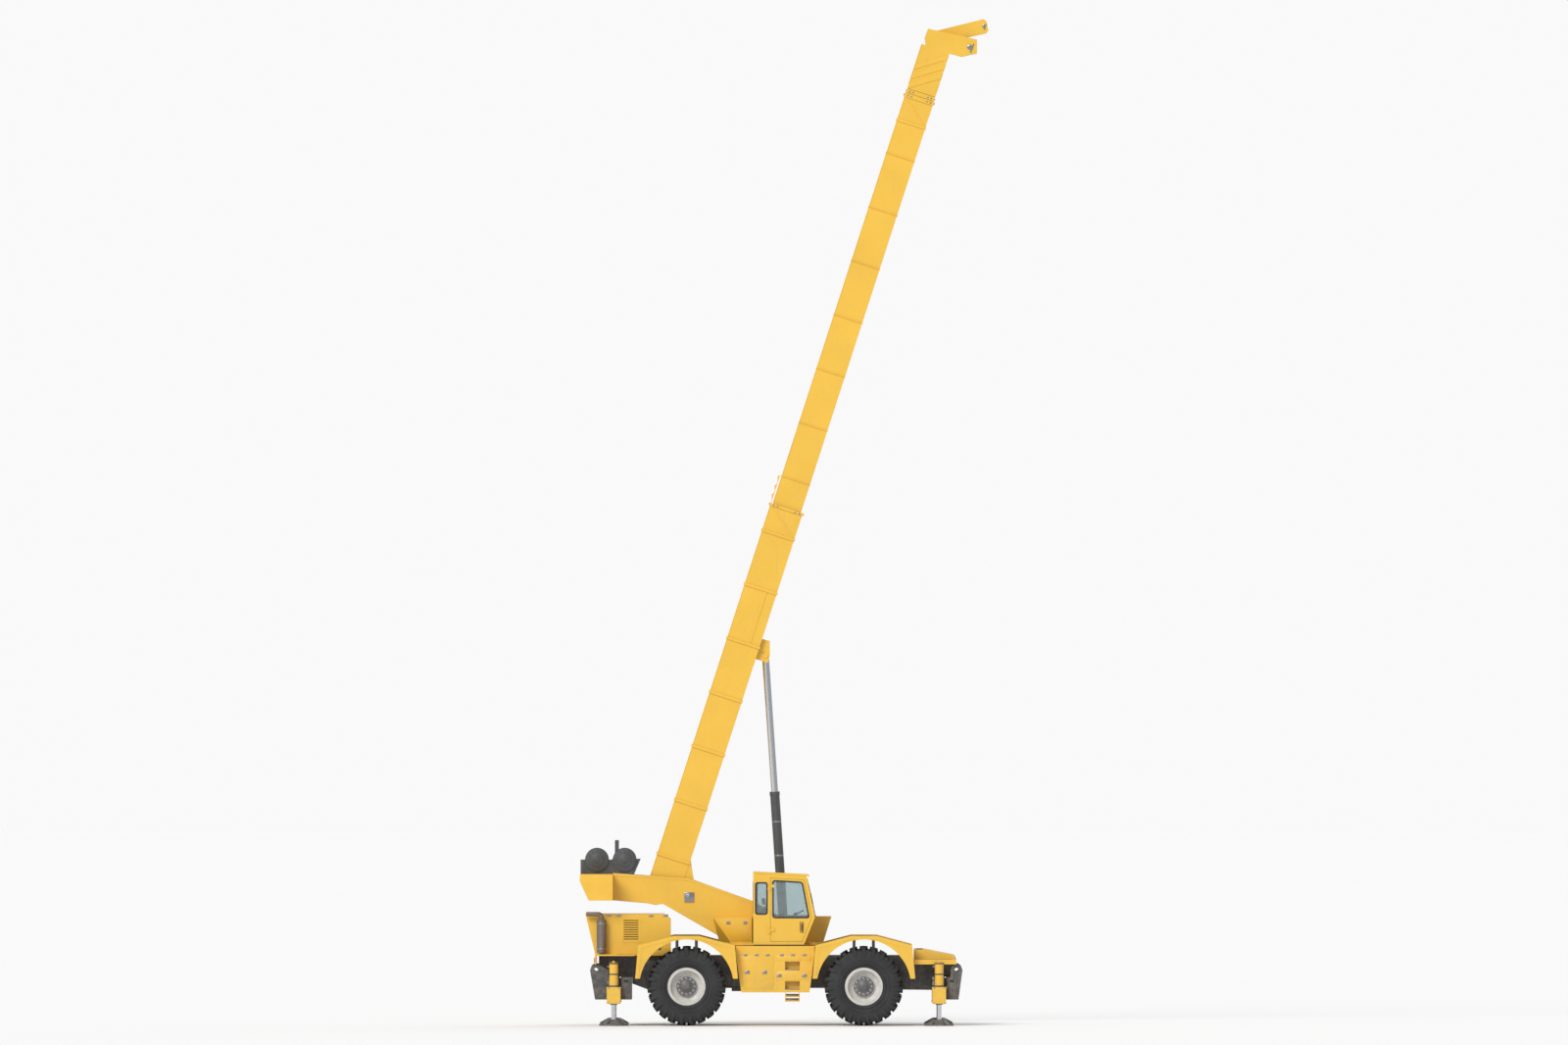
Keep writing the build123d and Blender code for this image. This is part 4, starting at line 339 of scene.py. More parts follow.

# Engine hood: folded sheet with pressed louvres, two lift-up side doors with pull handles, and
# a black mesh behind the air slots at the rear: a flat near-black plate that is the mesh's colour
# and painted shade of the engine bay behind it.
hood_trim = []
for x in (-3.62, -3.42, -2.75, -2.45):
    hood_trim.append(plate("hood_hinge", (x - 0.05, x + 0.05), (-0.640, -0.652),
                           (2.245, 2.275), 0.002))
for x in (-2.92, -2.58):
    hood_trim.append(plate("hood_latch", (x - 0.035, x + 0.035), (-0.640, -0.656),
                           (1.56, 1.62), 0.006))
mount_pair("hood_trim", hood_trim, bare_steel, "carrier")
louvre_low, louvre_high = 1.711, 2.238
louvre_pitch = (louvre_high - louvre_low) / 11
blades = []
for i in range(9):
    z = louvre_low + louvre_pitch * (i + 1.5)
    blades.append(plate("blade", (-3.316, -3.007), (-0.622, -0.656), (z + 0.004, z + 0.0085), 0.0))
mount_pair("hood_louvre_blades", blades, yellow, "carrier")
# Painted shade: flat near-black plates behind the louvre blades stand for the black mesh and the
# shaded engine bay seen through the slots.
mesh_and_shade_plates = [
    plate("mesh_shade_near", (-3.35, -2.97), (-0.622, -0.612), (1.70, 2.25), 0.0),
    plate("mesh_shade_far", (-3.35, -2.97), (0.612, 0.622), (1.70, 2.25), 0.0),
]
mount_piece(join("hood_mesh_and_shade", mesh_and_shade_plates), painted_shade_black, "carrier")

# Muffler: a rolled steel drum browned by heat, held by two clamp bands, with a bent tail pipe.
scorched = crane_paint("scorched_steel", (0.23, 0.19, 0.165), dust=0.5, gloss=0.4, metal=0.75)
dress(scorched, "muffler")
drum_y = -0.771
bands = []
for z in (1.58, 2.10):
    bpy.ops.object.select_all(action="DESELECT")
    bpy.ops.mesh.primitive_cylinder_add(vertices=48, radius=0.1035, depth=0.03,
                                        location=(-3.769, drum_y, z))
    bands.append(finish_shape(bpy.context.object, "clamp_band", 0.002))
mount_piece(join("muffler_bands", bands), bare_steel, "carrier")

# Lamps: ribbed plastic lenses on the ends of the carrier, clear in front and red behind. The
# ribs are in the mould of the lens.
lens, lens_shader, lens_place = new_finish("lamp_lens", {"Roughness": 0.12, "Coat Weight": 0.6})
lens_ends = grow(lens, "SeparateXYZ", {0: lens_place})
lens_front = grow(lens, "Math", {0: lens_ends.outputs["X"]}, operation="GREATER_THAN")
lens_tint = grow(lens, "Mix", {"Factor": lens_front.outputs[0], "A": (0.5, 0.02, 0.015, 1),
                               "B": (0.8, 0.82, 0.8, 1)}, data_type="RGBA")
lens_ribs = grow(lens, "TexWave", {"Vector": lens_place, "Scale": 40}, bands_direction="Z")
lens_bump = grow(lens, "Bump", {"Strength": 0.4, "Distance": 0.002,
                                "Height": lens_ribs.outputs["Fac"]})
wire(lens_shader, {"Base Color": lens_tint.outputs["Result"], "Normal": lens_bump.outputs[0]})
dress(lens, "lamps")

# Wheels: heavy earthmover tyres on pressed steel rims. The tyre is a spun carcass with deep bar
# lugs that turn down over the shoulder; the hub has a cover and a ring of twelve nuts.
rubber = coarse_finish("tyre_rubber", (0.022, 0.022, 0.023), grain=55, depth=0.003, rough=0.78,
                       spread=0.35)
rim_paint = crane_paint("rim_paint", (0.60, 0.59, 0.55), dust=0.7, gloss=0.4)
hub_paint = crane_paint("hub_paint", (0.10, 0.10, 0.105), dust=0.5, gloss=0.4)
wheel_z = 0.810
carcass_line = [(-0.240, 0.392), (-0.262, 0.430), (-0.279, 0.500), (-0.282, 0.560),
                (-0.274, 0.640), (-0.258, 0.705), (-0.236, 0.738), (-0.190, 0.750),
                (0.0, 0.757), (0.190, 0.750), (0.236, 0.738), (0.258, 0.705), (0.274, 0.640),
                (0.282, 0.560), (0.279, 0.500), (0.262, 0.430), (0.240, 0.392)]
carcass = outline_of([(0, y, r) for y, r in carcass_line], "NOTHING")
bpy.ops.mesh.spin(steps=92, angle=2 * pi, center=(0, 0, 0), axis=(0, 1, 0))
bpy.ops.object.mode_set(mode="OBJECT")
finish_shape(carcass, "carcass")
lug_count = 23
slant = radians(12)


def lug_bar(name, hand):
    """Bar lugs round half the tread, their edges rounded as the mould leaves them."""
    half_width = 0.034
    outline = [(0.012, 0.735), (0.012, 0.8085), (0.10, 0.8085), (0.225, 0.8055), (0.262, 0.778),
               (0.290, 0.712), (0.291, 0.645), (0.272, 0.566), (0.262, 0.566), (0.235, 0.700)]
    bar = outline_of([(-half_width, y, r) for y, r in outline])
    bpy.ops.mesh.extrude_region_move(TRANSFORM_OT_translate={"value": (2 * half_width, 0, 0)})
    bpy.ops.object.mode_set(mode="OBJECT")
    bar.rotation_euler = (0, 0, slant if hand > 0 else pi + slant)
    finish_shape(bar, name, 0.006)
    bar.data.transform(Matrix.Rotation(hand * pi / (2 * lug_count), 4, "Y"))
    bpy.ops.object.mode_set(mode="EDIT")
    bpy.ops.mesh.select_all(action="SELECT")
    bpy.ops.mesh.spin(steps=lug_count, angle=2 * pi, center=(0, 0, 0), axis=(0, 1, 0),
                      dupli=True)
    bpy.ops.mesh.select_all(action="SELECT")
    bpy.ops.mesh.remove_doubles(threshold=0.0005)
    bpy.ops.object.mode_set(mode="OBJECT")
    return bar


ribs = []
for y, r in ((-0.281, 0.455), (-0.2835, 0.535), (0.281, 0.455), (0.2835, 0.535)):
    bpy.ops.object.select_all(action="DESELECT")
    bpy.ops.mesh.primitive_torus_add(major_segments=92, minor_segments=8, major_radius=r,
                                     minor_radius=0.006, location=(0, y, 0),
                                     rotation=(pi / 2, 0, 0))
    ribs.append(finish_shape(bpy.context.object, "bead_rib"))
tyre_model = join("tyre_model", [carcass, lug_bar("lugs_out", 1), lug_bar("lugs_in", -1)] + ribs)

nut_ring = [(0.168 * cos(pi * i / 6), 0.168 * sin(pi * i / 6)) for i in range(12)]
nuts_model = join("nuts_model", [
    bolt_row("nuts", [(x, -0.1505, z) for x, z in nut_ring], (0, -1, 0), size=0.027, high=0.034),
    bolt_row("studs", [(x, -0.166, z) for x, z in nut_ring], (0, -1, 0), size=0.011, high=0.03,
             sides=12)])


def turned(name, profile, place, axis, sides=48, ease=0.0):
    """A lathe-turned piece: steps of (distance along the axis, radius) from end to end."""
    bpy.ops.object.select_all(action="DESELECT")
    start, radius = profile[0]
    bpy.ops.mesh.primitive_circle_add(vertices=sides, radius=radius, location=(0, 0, start),
                                      fill_type="NGON")
    piece = bpy.context.object
    bpy.ops.object.mode_set(mode="EDIT")
    bpy.ops.mesh.select_all(action="SELECT")
    for along, wide in profile[1:]:
        if along != start or wide != radius:
            bpy.ops.mesh.extrude_region_move(
                TRANSFORM_OT_translate={"value": (0, 0, along - start)})
            bpy.ops.transform.resize(value=(wide / radius, wide / radius, 1),
                                     center_override=(0, 0, along))
        start, radius = along, wide
    bpy.ops.object.mode_set(mode="OBJECT")
    piece.rotation_mode = "QUATERNION"
    piece.rotation_quaternion = Vector(axis).to_track_quat("Z", "Y")
    bpy.ops.object.transform_apply(location=True, rotation=True, scale=True)
    piece.location = place
    return finish_shape(piece, name, ease)


cover_model = turned("cover_model", [(0, 0.128), (0.014, 0.124), (0.020, 0.100), (0.034, 0.092),
                                     (0.040, 0.070), (0.052, 0.066), (0.056, 0.050),
                                     (0.058, 0.012)], (0, -0.1563, 0), (0, -1, 0), ease=0.002)
washer_ring = turned("washer_ring", [(0, 0.212), (0.006, 0.212), (0.008, 0.206)],
                     (0, -0.1563, 0), (0, -1, 0), ease=0.001)
cover_model = join("cover_model", [cover_model, washer_ring])
valve_model = turned("valve_model", [(0, 0.010), (0.03, 0.010), (0.034, 0.007), (0.075, 0.007)],
                     (0.0, -0.216, 0.318), (0, -1, 0), sides=16)

for corner in ("rear_right", "rear_left", "front_right", "front_left"):
    x = 1.644 if corner.startswith("front") else -2.014
    y = -1.195 if corner.endswith("right") else 1.195
    turn = Matrix.Rotation(0 if y < 0 else pi, 4, "Z")
    body = f"wheel_{corner}"
    for model, name, finish, slot in (
        (tyre_model, "tread", rubber, "tyre"), (nuts_model, "wheel_nuts", bare_steel, "rim_paint"),
        (cover_model, "hub_cover", hub_paint, "rim_paint"),
        (valve_model, "valve", bare_steel, "rim_paint"),
    ):
        piece = model.copy()
        piece.data = model.data.copy()
        piece.name = f"{name}_{corner}"
        bpy.context.collection.objects.link(piece)
        piece.data.transform(Matrix.Translation((x, y, wheel_z)) @ turn)
        mount_piece(piece, finish, body)
        if name == "tread":
            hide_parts(f"tyre_{corner}")
    dress(rim_paint, f"rim_{corner}")
    dress(charcoal, f"knuckle_{corner}")
for model in (tyre_model, nuts_model, cover_model, valve_model):
    bpy.data.objects.remove(model)

# Outriggers: box beams and jack housings painted as the body, with greased chrome rods and
# forged floats. A plate with a slot shuts each tube whose beam slides out on the other side; a
# flat near-black sheet in the slot is painted shade of the tube's inside.
chrome = crane_paint("rod_chrome", (0.66, 0.67, 0.68), dust=0.15, gloss=0.12, metal=1.0)
float_paint = crane_paint("float_paint", (0.085, 0.087, 0.09), dust=0.8, gloss=0.5)
rod_and_float = float_paint.copy()
rod_and_float.name = "rod_and_float"
rod_shader = rod_and_float.node_tree.nodes["Principled BSDF"]
rod_place = grow(rod_and_float, "TexCoord", {}).outputs["Object"]
rod_height = grow(rod_and_float, "SeparateXYZ", {0: rod_place}).outputs["Z"]
float_top = 0.1335
above_float = grow(rod_and_float, "Math", {0: rod_height, 1: float_top},
                   operation="GREATER_THAN").outputs[0]
for socket, kind, bright in (("Base Color", "RGBA", (0.66, 0.67, 0.68, 1)),
                             ("Roughness", "FLOAT", 0.14)):
    worn = rod_shader.inputs[socket].links[0].from_socket
    swap = grow(rod_and_float, "Mix", {"Factor": above_float, "A": worn, "B": bright},
                data_type=kind)
    wire(rod_shader, {socket: swap.outputs["Result"]})
wire(rod_shader, {"Metallic": above_float})


def hoop(name, outline, ease=0.001):
    """A ring open in the middle: a closed outline of (radius, height) spun round the z axis."""
    ring = outline_of([(r, 0, along) for r, along in outline], "NOTHING")
    bpy.ops.mesh.spin(steps=56, angle=2 * pi, center=(0, 0, 0), axis=(0, 0, 1))
    bpy.ops.object.mode_set(mode="OBJECT")
    return finish_shape(ring, name, ease)


for corner, jack_x, hand in (("rear_right", -3.516, -1), ("rear_left", -3.516, 1),
                             ("front_right", 3.197, -1), ("front_left", 3.197, 1)):
    dress(yellow, f"beam_{corner}")
    dress(rod_and_float, f"jack_{corner}")
    jack_y = hand * 1.350
    foot = []
    for k in range(6):
        turn = Matrix.Rotation(k * pi / 3, 4, "Z")
        web = side_sheet("float_web", [(0.10, 0.128), (0.232, 0.030), (0.29, 0.030),
                                       (0.29, 0.040), (0.125, 0.131)], -0.006, 0.006, 0.0015)
        web.data.transform(Matrix.Translation((jack_x, jack_y, 0)) @ turn)
        foot.append(web)
    mount_piece(join(f"float_foot_{corner}", foot), float_paint, f"float_{corner}")
    collars = []
    for z, wide in ((0.806, 0.104), (1.050, 0.097), (1.272, 0.100)):
        collars.append(hoop("collar", [(0.0905, z), (wide, z), (wide, z + 0.028),
                                       (0.0905, z + 0.028)], 0.003))
    collars.append(hoop("rod_wiper", [(0.0515, 0.434), (0.072, 0.434), (0.078, 0.446),
                                      (0.078, 0.456), (0.0515, 0.456)], 0.002))
    for collar in collars:
        collar.data.transform(Matrix.Translation((jack_x, jack_y, 0)))
    mount_piece(join(f"jack_collars_{corner}", collars), charcoal, f"outrigger_{corner}")
    fittings = []
    for z in (0.90, 1.22):
        fittings.append(turned("port", [(0, 0.020), (0.02, 0.020), (0.024, 0.014), (0.05, 0.014)],
                               (jack_x - 0.085, jack_y, z), (-1, 0, 0), sides=6, ease=0.001))
    corner_bolts = [(jack_x + i * 0.105, jack_y + hand * 0.1505, z)
                    for i in (-1, 1) for z in (0.471, 0.785)]
    fittings.append(bolt_row("housing_bolts", corner_bolts, (0, hand, 0), 0.016, 0.012))
    mount_piece(join(f"jack_fittings_{corner}", fittings), bare_steel, f"outrigger_{corner}")


def side_band(name, outline, width, y_from, y_to, corner=0.0, ease=0.002):
    """A flat band that runs round just inside an outline seen from the side."""
    band = outline_of([(x, y_from, z) for x, z in outline])
    if corner:
        bpy.ops.mesh.bevel(offset=corner, segments=6, affect="VERTICES")
        bpy.ops.mesh.select_all(action="SELECT")
    bpy.ops.mesh.inset(thickness=width)
    bpy.ops.mesh.delete(type="FACE")
    bpy.ops.mesh.select_all(action="SELECT")
    bpy.ops.mesh.extrude_region_move(TRANSFORM_OT_translate={"value": (0, y_to - y_from, 0)})
    bpy.ops.object.mode_set(mode="OBJECT")
    return finish_shape(band, name, ease)


for side_name, hand, tubes in (("right", -1, (-3.258, 3.458)), ("left", 1, (-3.516, 3.197))):
    caps, shade_sheets = [], []
    for tube_x in tubes:
        caps.append(plate("tube_cap", (tube_x - 0.106, tube_x + 0.106),
                          (hand * 1.1795, hand * 1.1875), (0.546, 0.993), 0.003))
        caps.append(side_band("slot_rim", [(tube_x - 0.052, 0.886), (tube_x + 0.052, 0.886),
                                           (tube_x + 0.052, 0.955), (tube_x - 0.052, 0.955)],
                              0.010, hand * 1.1870, hand * 1.1925, 0.010, 0.001))
        # Painted shade: a flat near-black sheet just proud of the cap stands for the shade inside
        # the slot.
        shade_sheets.append(plate("slot_shade", (tube_x - 0.043, tube_x + 0.043),
                           (hand * 1.1870, hand * 1.1885), (0.895, 0.946), 0.0005))
        spots = [(tube_x + i * 0.088, hand * 1.192, z) for i in (-1, 1)
                 for z in (0.575, 0.77, 0.965)]
        caps.append(bolt_row("cap_bolts", spots, (0, hand, 0), 0.013, 0.01))
    mount_piece(join(f"tube_caps_{side_name}", caps), charcoal, "carrier")
    mount_piece(join(f"slot_shades_{side_name}", shade_sheets), painted_shade_black, "carrier")

# Turntable: welded plates with a doubler round the edge of each boom plate, and a square cover
# with a ring of bolts that keeps the boom's pivot pin in.
dress(yellow, "turntable_frame", "turntable_fairing")
plate_edge = [(-3.536, 3.118), (-2.830, 3.082), (-1.964, 3.020), (-0.648, 2.546),
              (0.235, 2.044), (0.285, 1.720), (-1.275, 1.720), (-1.385, 1.872),
              (-2.500, 2.500), (-2.668, 2.482), (-2.818, 2.520), (-3.536, 2.582)]
doubler = side_band("doubler", plate_edge, 0.040, -0.3695, -0.3765)
mount_pair("boom_plate_doubler", [doubler], yellow, "turntable")

pivot_x, pivot_z = -1.963, 2.643
cover = [plate("pivot_square", (pivot_x - 0.101, pivot_x + 0.101), (-0.3850, -0.3970),
               (pivot_z - 0.101, pivot_z + 0.101), 0.010),
         turned("pivot_boss", [(0, 0.075), (0.010, 0.073), (0.012, 0.030), (0.018, 0.028)],
                (pivot_x, -0.3965, pivot_z), (0, -1, 0), ease=0.001)]
pin_bolts = [(pivot_x + 0.056 * cos(pi * i / 4), -0.4105, pivot_z + 0.056 * sin(pi * i / 4))
             for i in range(8)]
cover.append(bolt_row("pivot_bolts", pin_bolts, (0, -1, 0), 0.0105, 0.010))
cover.append(bolt_row("square_bolts", [(pivot_x + i * 0.083, -0.401, pivot_z + k * 0.083)
                                       for i in (-1, 1) for k in (-1, 1)], (0, -1, 0), 0.012, 0.01))
mount_pair("pivot_cover", cover, bare_steel, "turntable")

# Fairing lockers: sheet steel doors on the sloping flanks, held by latches along the top. The cab
# stands before the front locker on the right, so that side shows the rear one alone.
def on_flank(piece):
    """Leans a piece made on the plane y 0 on the right flank of the fairings."""
    slope = 0.14 / 0.527
    foot_y, foot_z = -0.860, 1.711
    lean = Matrix.Identity(4)
    lean[1][2] = -slope
    lean[1][3] = foot_y + foot_z * slope
    piece.data.transform(lean)
    return piece


rear_door = side_sheet("locker_skin", [(-1.075, 1.745), (-0.700, 1.745), (-0.700, 2.205),
                                       (-1.395, 2.205)], 0.001, -0.007, 0.003)
rear_door = on_flank(rear_door)
rear_door.name = "locker_door_right"
mount_piece(rear_door, yellow, "turntable")
front_door = on_flank(side_sheet("locker_front", [(-0.60, 1.745), (0.58, 1.745), (0.87, 2.205),
                                                  (-0.60, 2.205)], 0.001, -0.007, 0.003))
far_doors = join("locker_doors_left", [mirrored(rear_door, "rear_twin"),
                                       mirrored(front_door, "front_twin")])
bpy.data.objects.remove(front_door)
mount_piece(far_doors, yellow, "turntable")
rear_latch, front_latch = [
    join("latches", [on_flank(plate("latch", (x - 0.04, x + 0.04), (-0.006, -0.018), (2.09, 2.15),
                                    0.005)) for x in row])
    for row in ((-0.80, -1.15), (-0.40, 0.10, 0.60))]
rear_latch.name = "locker_latches_right"
mount_piece(rear_latch, bare_steel, "turntable")
far_latches = join("locker_latches_left", [mirrored(rear_latch, "rear_latch_twin"),
                                           mirrored(front_latch, "front_latch_twin")])
bpy.data.objects.remove(front_latch)
mount_piece(far_latches, bare_steel, "turntable")

# Counterweight: one iron casting with a rough skin under thick paint, bolted between the boom
# plates from behind.
cast_yellow = coarse_finish("cast_yellow", (0.79, 0.46, 0.045), grain=38, depth=0.010, rough=0.5,
                            spread=0.10)
dress(cast_yellow, "counterweight")

# Winches: steel drums with rope grooves turned in them between two flanges, hung between the
# side plates, with a gear case cover on each end.
dress(charcoal, "winch_frame", "winch_drum_rear", "winch_drum_front")
grooves = []
for i in range(46):
    y = 0.299 - 0.013 * i
    grooves += [(0.299 - y, 0.1915), (0.299 - y + 0.003, 0.1965), (0.299 - y + 0.007, 0.1965)]
for end, drum_x in (("rear", -3.868), ("front", -3.297)):
    barrel = turned(f"drum_grooves_{end}", grooves, (drum_x, -0.2985, 3.412), (0, 1, 0), sides=64)
    mount_piece(barrel, bare_steel, f"winch_{end}")
    faces = []
    for hand in (-1, 1):
        faces.append(turned("gear_case", [(0, 0.232), (0.008, 0.229), (0.010, 0.150),
                                          (0.022, 0.140), (0.026, 0.062), (0.036, 0.058)],
                            (drum_x, hand * 0.3995, 3.412), (0, hand, 0), sides=64, ease=0.001))
        ring = [(drum_x + 0.190 * cos(pi * i / 6), hand * 0.411, 3.412 + 0.190 * sin(pi * i / 6))
                for i in range(12)]
        faces.append(bolt_row("case_bolts", ring, (0, hand, 0), 0.014, 0.012))
    mount_piece(join(f"gear_covers_{end}", faces), charcoal, f"winch_{end}")

# Cab: pressed steel panels with glass held in black rubber, a sprung door and a tinted
# windshield with one wiper.
dress(yellow, "cab_side_walls", "cab_end_frames", "cab_floor_roof", "door_panel")
glass, glass_shader, glass_place = new_finish("tinted_glass", {"Transmission Weight": 0.86,
                                                              "IOR": 1.46})
film = grow(glass, "TexNoise", {"Vector": glass_place, "Scale": 3.5, "Detail": 7})
film_tint = grow(glass, "Mix", {"Factor": film.outputs["Fac"], "A": (0.58, 0.70, 0.72, 1),
                                "B": (0.72, 0.80, 0.80, 1)}, data_type="RGBA")
film_dull = grow(glass, "MapRange", {"Value": film.outputs["Fac"], "From Min": 0.45,
                                     "To Min": 0.01, "To Max": 0.09})
wire(glass_shader, {"Base Color": film_tint.outputs["Result"], "Roughness": film_dull.outputs[0]})
dress(glass, "cab_glass", "door_glass")

gasket = coarse_finish("window_rubber", (0.028, 0.028, 0.029), grain=120, depth=0.001, rough=0.6)
quarter = side_band("quarter_gasket", [(-0.603, 2.287), (-0.337, 2.287), (-0.337, 2.963),
                                       (-0.603, 2.963)], 0.032, -1.178, -1.142, 0.055, 0.004)
inner = side_band("inner_gasket", [(-0.577, 2.238), (0.530, 2.238), (0.386, 2.992),
                                   (-0.577, 3.034)], 0.032, -0.412, -0.448, 0.055, 0.004)
windshield_at = Matrix(((0, -0.979, -0.2035, 0.549), (1, 0, 0, -0.795),
                        (0, -0.2035, 0.979, 2.6615), (0, 0, 0, 1)))
rear_at = Matrix(((0, 1, 0, -0.639), (-1, 0, 0, -0.795), (0, 0, 1, 2.640), (0, 0, 0, 1)))
front_band = side_band("front_gasket", [(-0.321, -0.379), (0.321, -0.379), (0.321, 0.379),
                                        (-0.321, 0.379)], 0.032, -0.008, 0.030, 0.055, 0.004)
front_band.data.transform(windshield_at)
rear_band = side_band("rear_gasket", [(-0.301, -0.321), (0.301, -0.321), (0.301, 0.321),
                                      (-0.301, 0.321)], 0.032, -0.008, 0.030, 0.055, 0.004)
rear_band.data.transform(rear_at)
mount_piece(join("cab_gaskets", [quarter, inner, front_band, rear_band]), gasket, "turntable")
door_band = side_band("door_gasket", [(-0.246, 2.214), (0.533, 2.214), (0.385, 2.971),
                                      (-0.246, 3.009)], 0.032, -1.178, -1.145, 0.060, 0.004)
grip = plate("door_grip", (0.350, 0.375), (-1.1935, -1.2125), (1.948, 2.112), 0.008)
dish = side_band("handle_dish", [(0.326, 1.921), (0.399, 1.921), (0.399, 2.139),
                                 (0.326, 2.139)], 0.010, -1.175, -1.180, 0.015, 0.001)
mount_piece(join("door_rubbers", [door_band, grip, dish]), gasket, "door")
door_seal = side_band("door_seal", [(-0.286, 1.735), (0.375, 1.735), (0.573, 2.238),
                                    (0.413, 3.010), (-0.286, 3.055)], 0.0052, -1.160, -1.135,
                      0.0, 0.0)
mount_piece(door_seal, gasket, "turntable")

wiper = [plate("wiper_motor", (-0.045, 0.045), (-0.022, 0.0), (-0.432, -0.386), 0.008),
         side_sheet("wiper_arm", [(-0.010, -0.40), (0.012, -0.41), (0.122, 0.06),
                                  (0.106, 0.065)], -0.020, -0.012, 0.002),
         side_sheet("wiper_blade", [(0.058, -0.16), (0.072, -0.163), (0.168, 0.262),
                                    (0.154, 0.266)], -0.013, 0.016, 0.002)]
wiper = join("wiper", wiper)
wiper.data.transform(windshield_at)
mount_piece(wiper, gasket, "turntable")
floor_mat = [plate("mat", (-0.585, 0.20), (-1.110, -0.480), (1.716, 1.722), 0.002)]
floor_mat += [plate("mat_rib", (-0.58 + 0.045 * i, -0.572 + 0.045 * i), (-1.105, -0.485),
                    (1.721, 1.725), 0.001) for i in range(17)]
mount_piece(join("cab_floor_mat", floor_mat), gasket, "turntable")

# Operator's chair: two foam cushions and a head cushion in woven cloth with a welt round each,
# on a steel pan over a folded rubber bellows.
cloth, cloth_shader, cloth_place = new_finish("chair_cloth", {"Roughness": 0.9,
                                                             "Sheen Weight": 0.3})
threads = [grow(cloth, "TexWave", {"Vector": cloth_place, "Scale": 130, "Distortion": 1.2},
                bands_direction=direction).outputs["Fac"] for direction in ("Y", "Z")]
weave = grow(cloth, "Math", {0: threads[0], 1: threads[1]}, operation="MULTIPLY")
cloth_tone = grow(cloth, "Mix", {"Factor": weave.outputs[0], "A": (0.045, 0.047, 0.055, 1),
                                 "B": (0.16, 0.165, 0.18, 1)}, data_type="RGBA")
cloth_bump = grow(cloth, "Bump", {"Distance": 0.001, "Height": weave.outputs[0]})
wire(cloth_shader, {"Base Color": cloth_tone.outputs["Result"], "Normal": cloth_bump.outputs[0]})


def stuffed(name, size, cap=0.014):
    """A foam cushion about its own middle: a rounded block that its filling swells."""
    bpy.ops.object.select_all(action="DESELECT")
    bpy.ops.mesh.primitive_cube_add(size=1)
    cushion = bpy.context.object
    cushion.scale = size
    bpy.ops.object.transform_apply(location=True, rotation=True, scale=True)
    round_edges = cushion.modifiers.new("round_edges", "BEVEL")
    round_edges.width = 0.3 * min(size)
    round_edges.segments = 5
    bpy.ops.object.modifier_apply(modifier="round_edges")
    even = cushion.modifiers.new("even", "REMESH")
    even.mode = "VOXEL"
    even.voxel_size = 0.011
    bpy.ops.object.modifier_apply(modifier="even")
    rest = [vertex.co.copy() for vertex in cushion.data.vertices]
    swell = cushion.modifiers.new("swell", "CLOTH")
    swell.settings.use_pressure = True
    swell.settings.uniform_pressure_force = 4
    swell.settings.effector_weights.gravity = 0
    for step in range(1, 21):
        bpy.context.scene.frame_set(step)
    bpy.ops.object.modifier_apply(modifier="swell")
    bpy.context.scene.frame_set(1)
    for vertex, start in zip(cushion.data.vertices, rest):
        moved = vertex.co - start
        if moved.length > cap:
            vertex.co = start + moved * (cap / moved.length)
    cushion.name = name
    cushion.data.name = name
    return cushion


def sewn(cushion, seams, depth=0.007):
    """Draws sewn channels into a cushion's faces, at the given places across its width."""
    bpy.ops.object.select_all(action="DESELECT")
    cushion.select_set(True)
    bpy.context.view_layer.objects.active = cushion
    for vertex in cushion.data.vertices:
        for seam in seams:
            near = 1 - abs(vertex.co.y - seam) / 0.014
            if near > 0:
                vertex.co -= Vector((0, 0, 1)) * depth * near * (1 if vertex.co.z > 0 else -1)
    smooth = cushion.modifiers.new("smooth", "SUBSURF")
    smooth.levels = 1
    smooth.render_levels = 1
    bpy.ops.object.modifier_apply(modifier="smooth")
    bpy.ops.object.shade_smooth()
    return cushion


def welt(name, length, width, height, corner=0.05):
    """The corded seam round a cushion, lying level at a height."""
    bpy.ops.object.select_all(action="DESELECT")
    outline = [(-length / 2, -width / 2), (length / 2, -width / 2), (length / 2, width / 2),
               (-length / 2, width / 2)]
    cord_ring = side_band(name, outline, 0.008, -0.004, 0.004, corner, 0.0025)
    cord_ring.data.transform(Matrix.Translation((0, 0, height)) @ Matrix.Rotation(pi / 2, 4, "X"))
    return cord_ring


chair_y = -0.795
lean_back = Matrix.Rotation(radians(-90 - 6.2), 4, "Y")
for name, size, seams, place in (
    ("seat_cushion", (0.440, 0.440, 0.078), (-0.135, 0.135),
     Matrix.Translation((-0.135, chair_y, 2.018)) @ Matrix.Rotation(radians(-3), 4, "Y")),
    ("back_cushion", (0.400, 0.410, 0.070), (-0.125, 0.125),
     Matrix.Translation((-0.395, chair_y, 2.262)) @ lean_back),
    ("head_cushion", (0.130, 0.260, 0.060), (),
     Matrix.Translation((-0.428, chair_y, 2.558)) @ lean_back),
):
    cushion = sewn(stuffed(name, size), seams)
    cushion.data.transform(place)
    mount_piece(cushion, cloth, "turntable")
    edge = welt(f"{name}_welt", size[0] + 0.016, size[1] + 0.016, 0.0,
                0.05 if size[0] > 0.2 else 0.03)
    edge.data.transform(place)
    mount_piece(edge, gasket, "turntable")
    if name == "seat_cushion":
        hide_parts("cab_chair")
bellows = []
for i in range(7):
    half = 0.150 if i % 2 == 0 else 0.128
    z = 1.718 + 0.033 * i
    bellows.append(plate("fold", (-0.155 - half, -0.155 + half), (chair_y - half, chair_y + half),
                         (z, z + 0.035), 0.012))
bellows = join("chair_bellows", bellows)
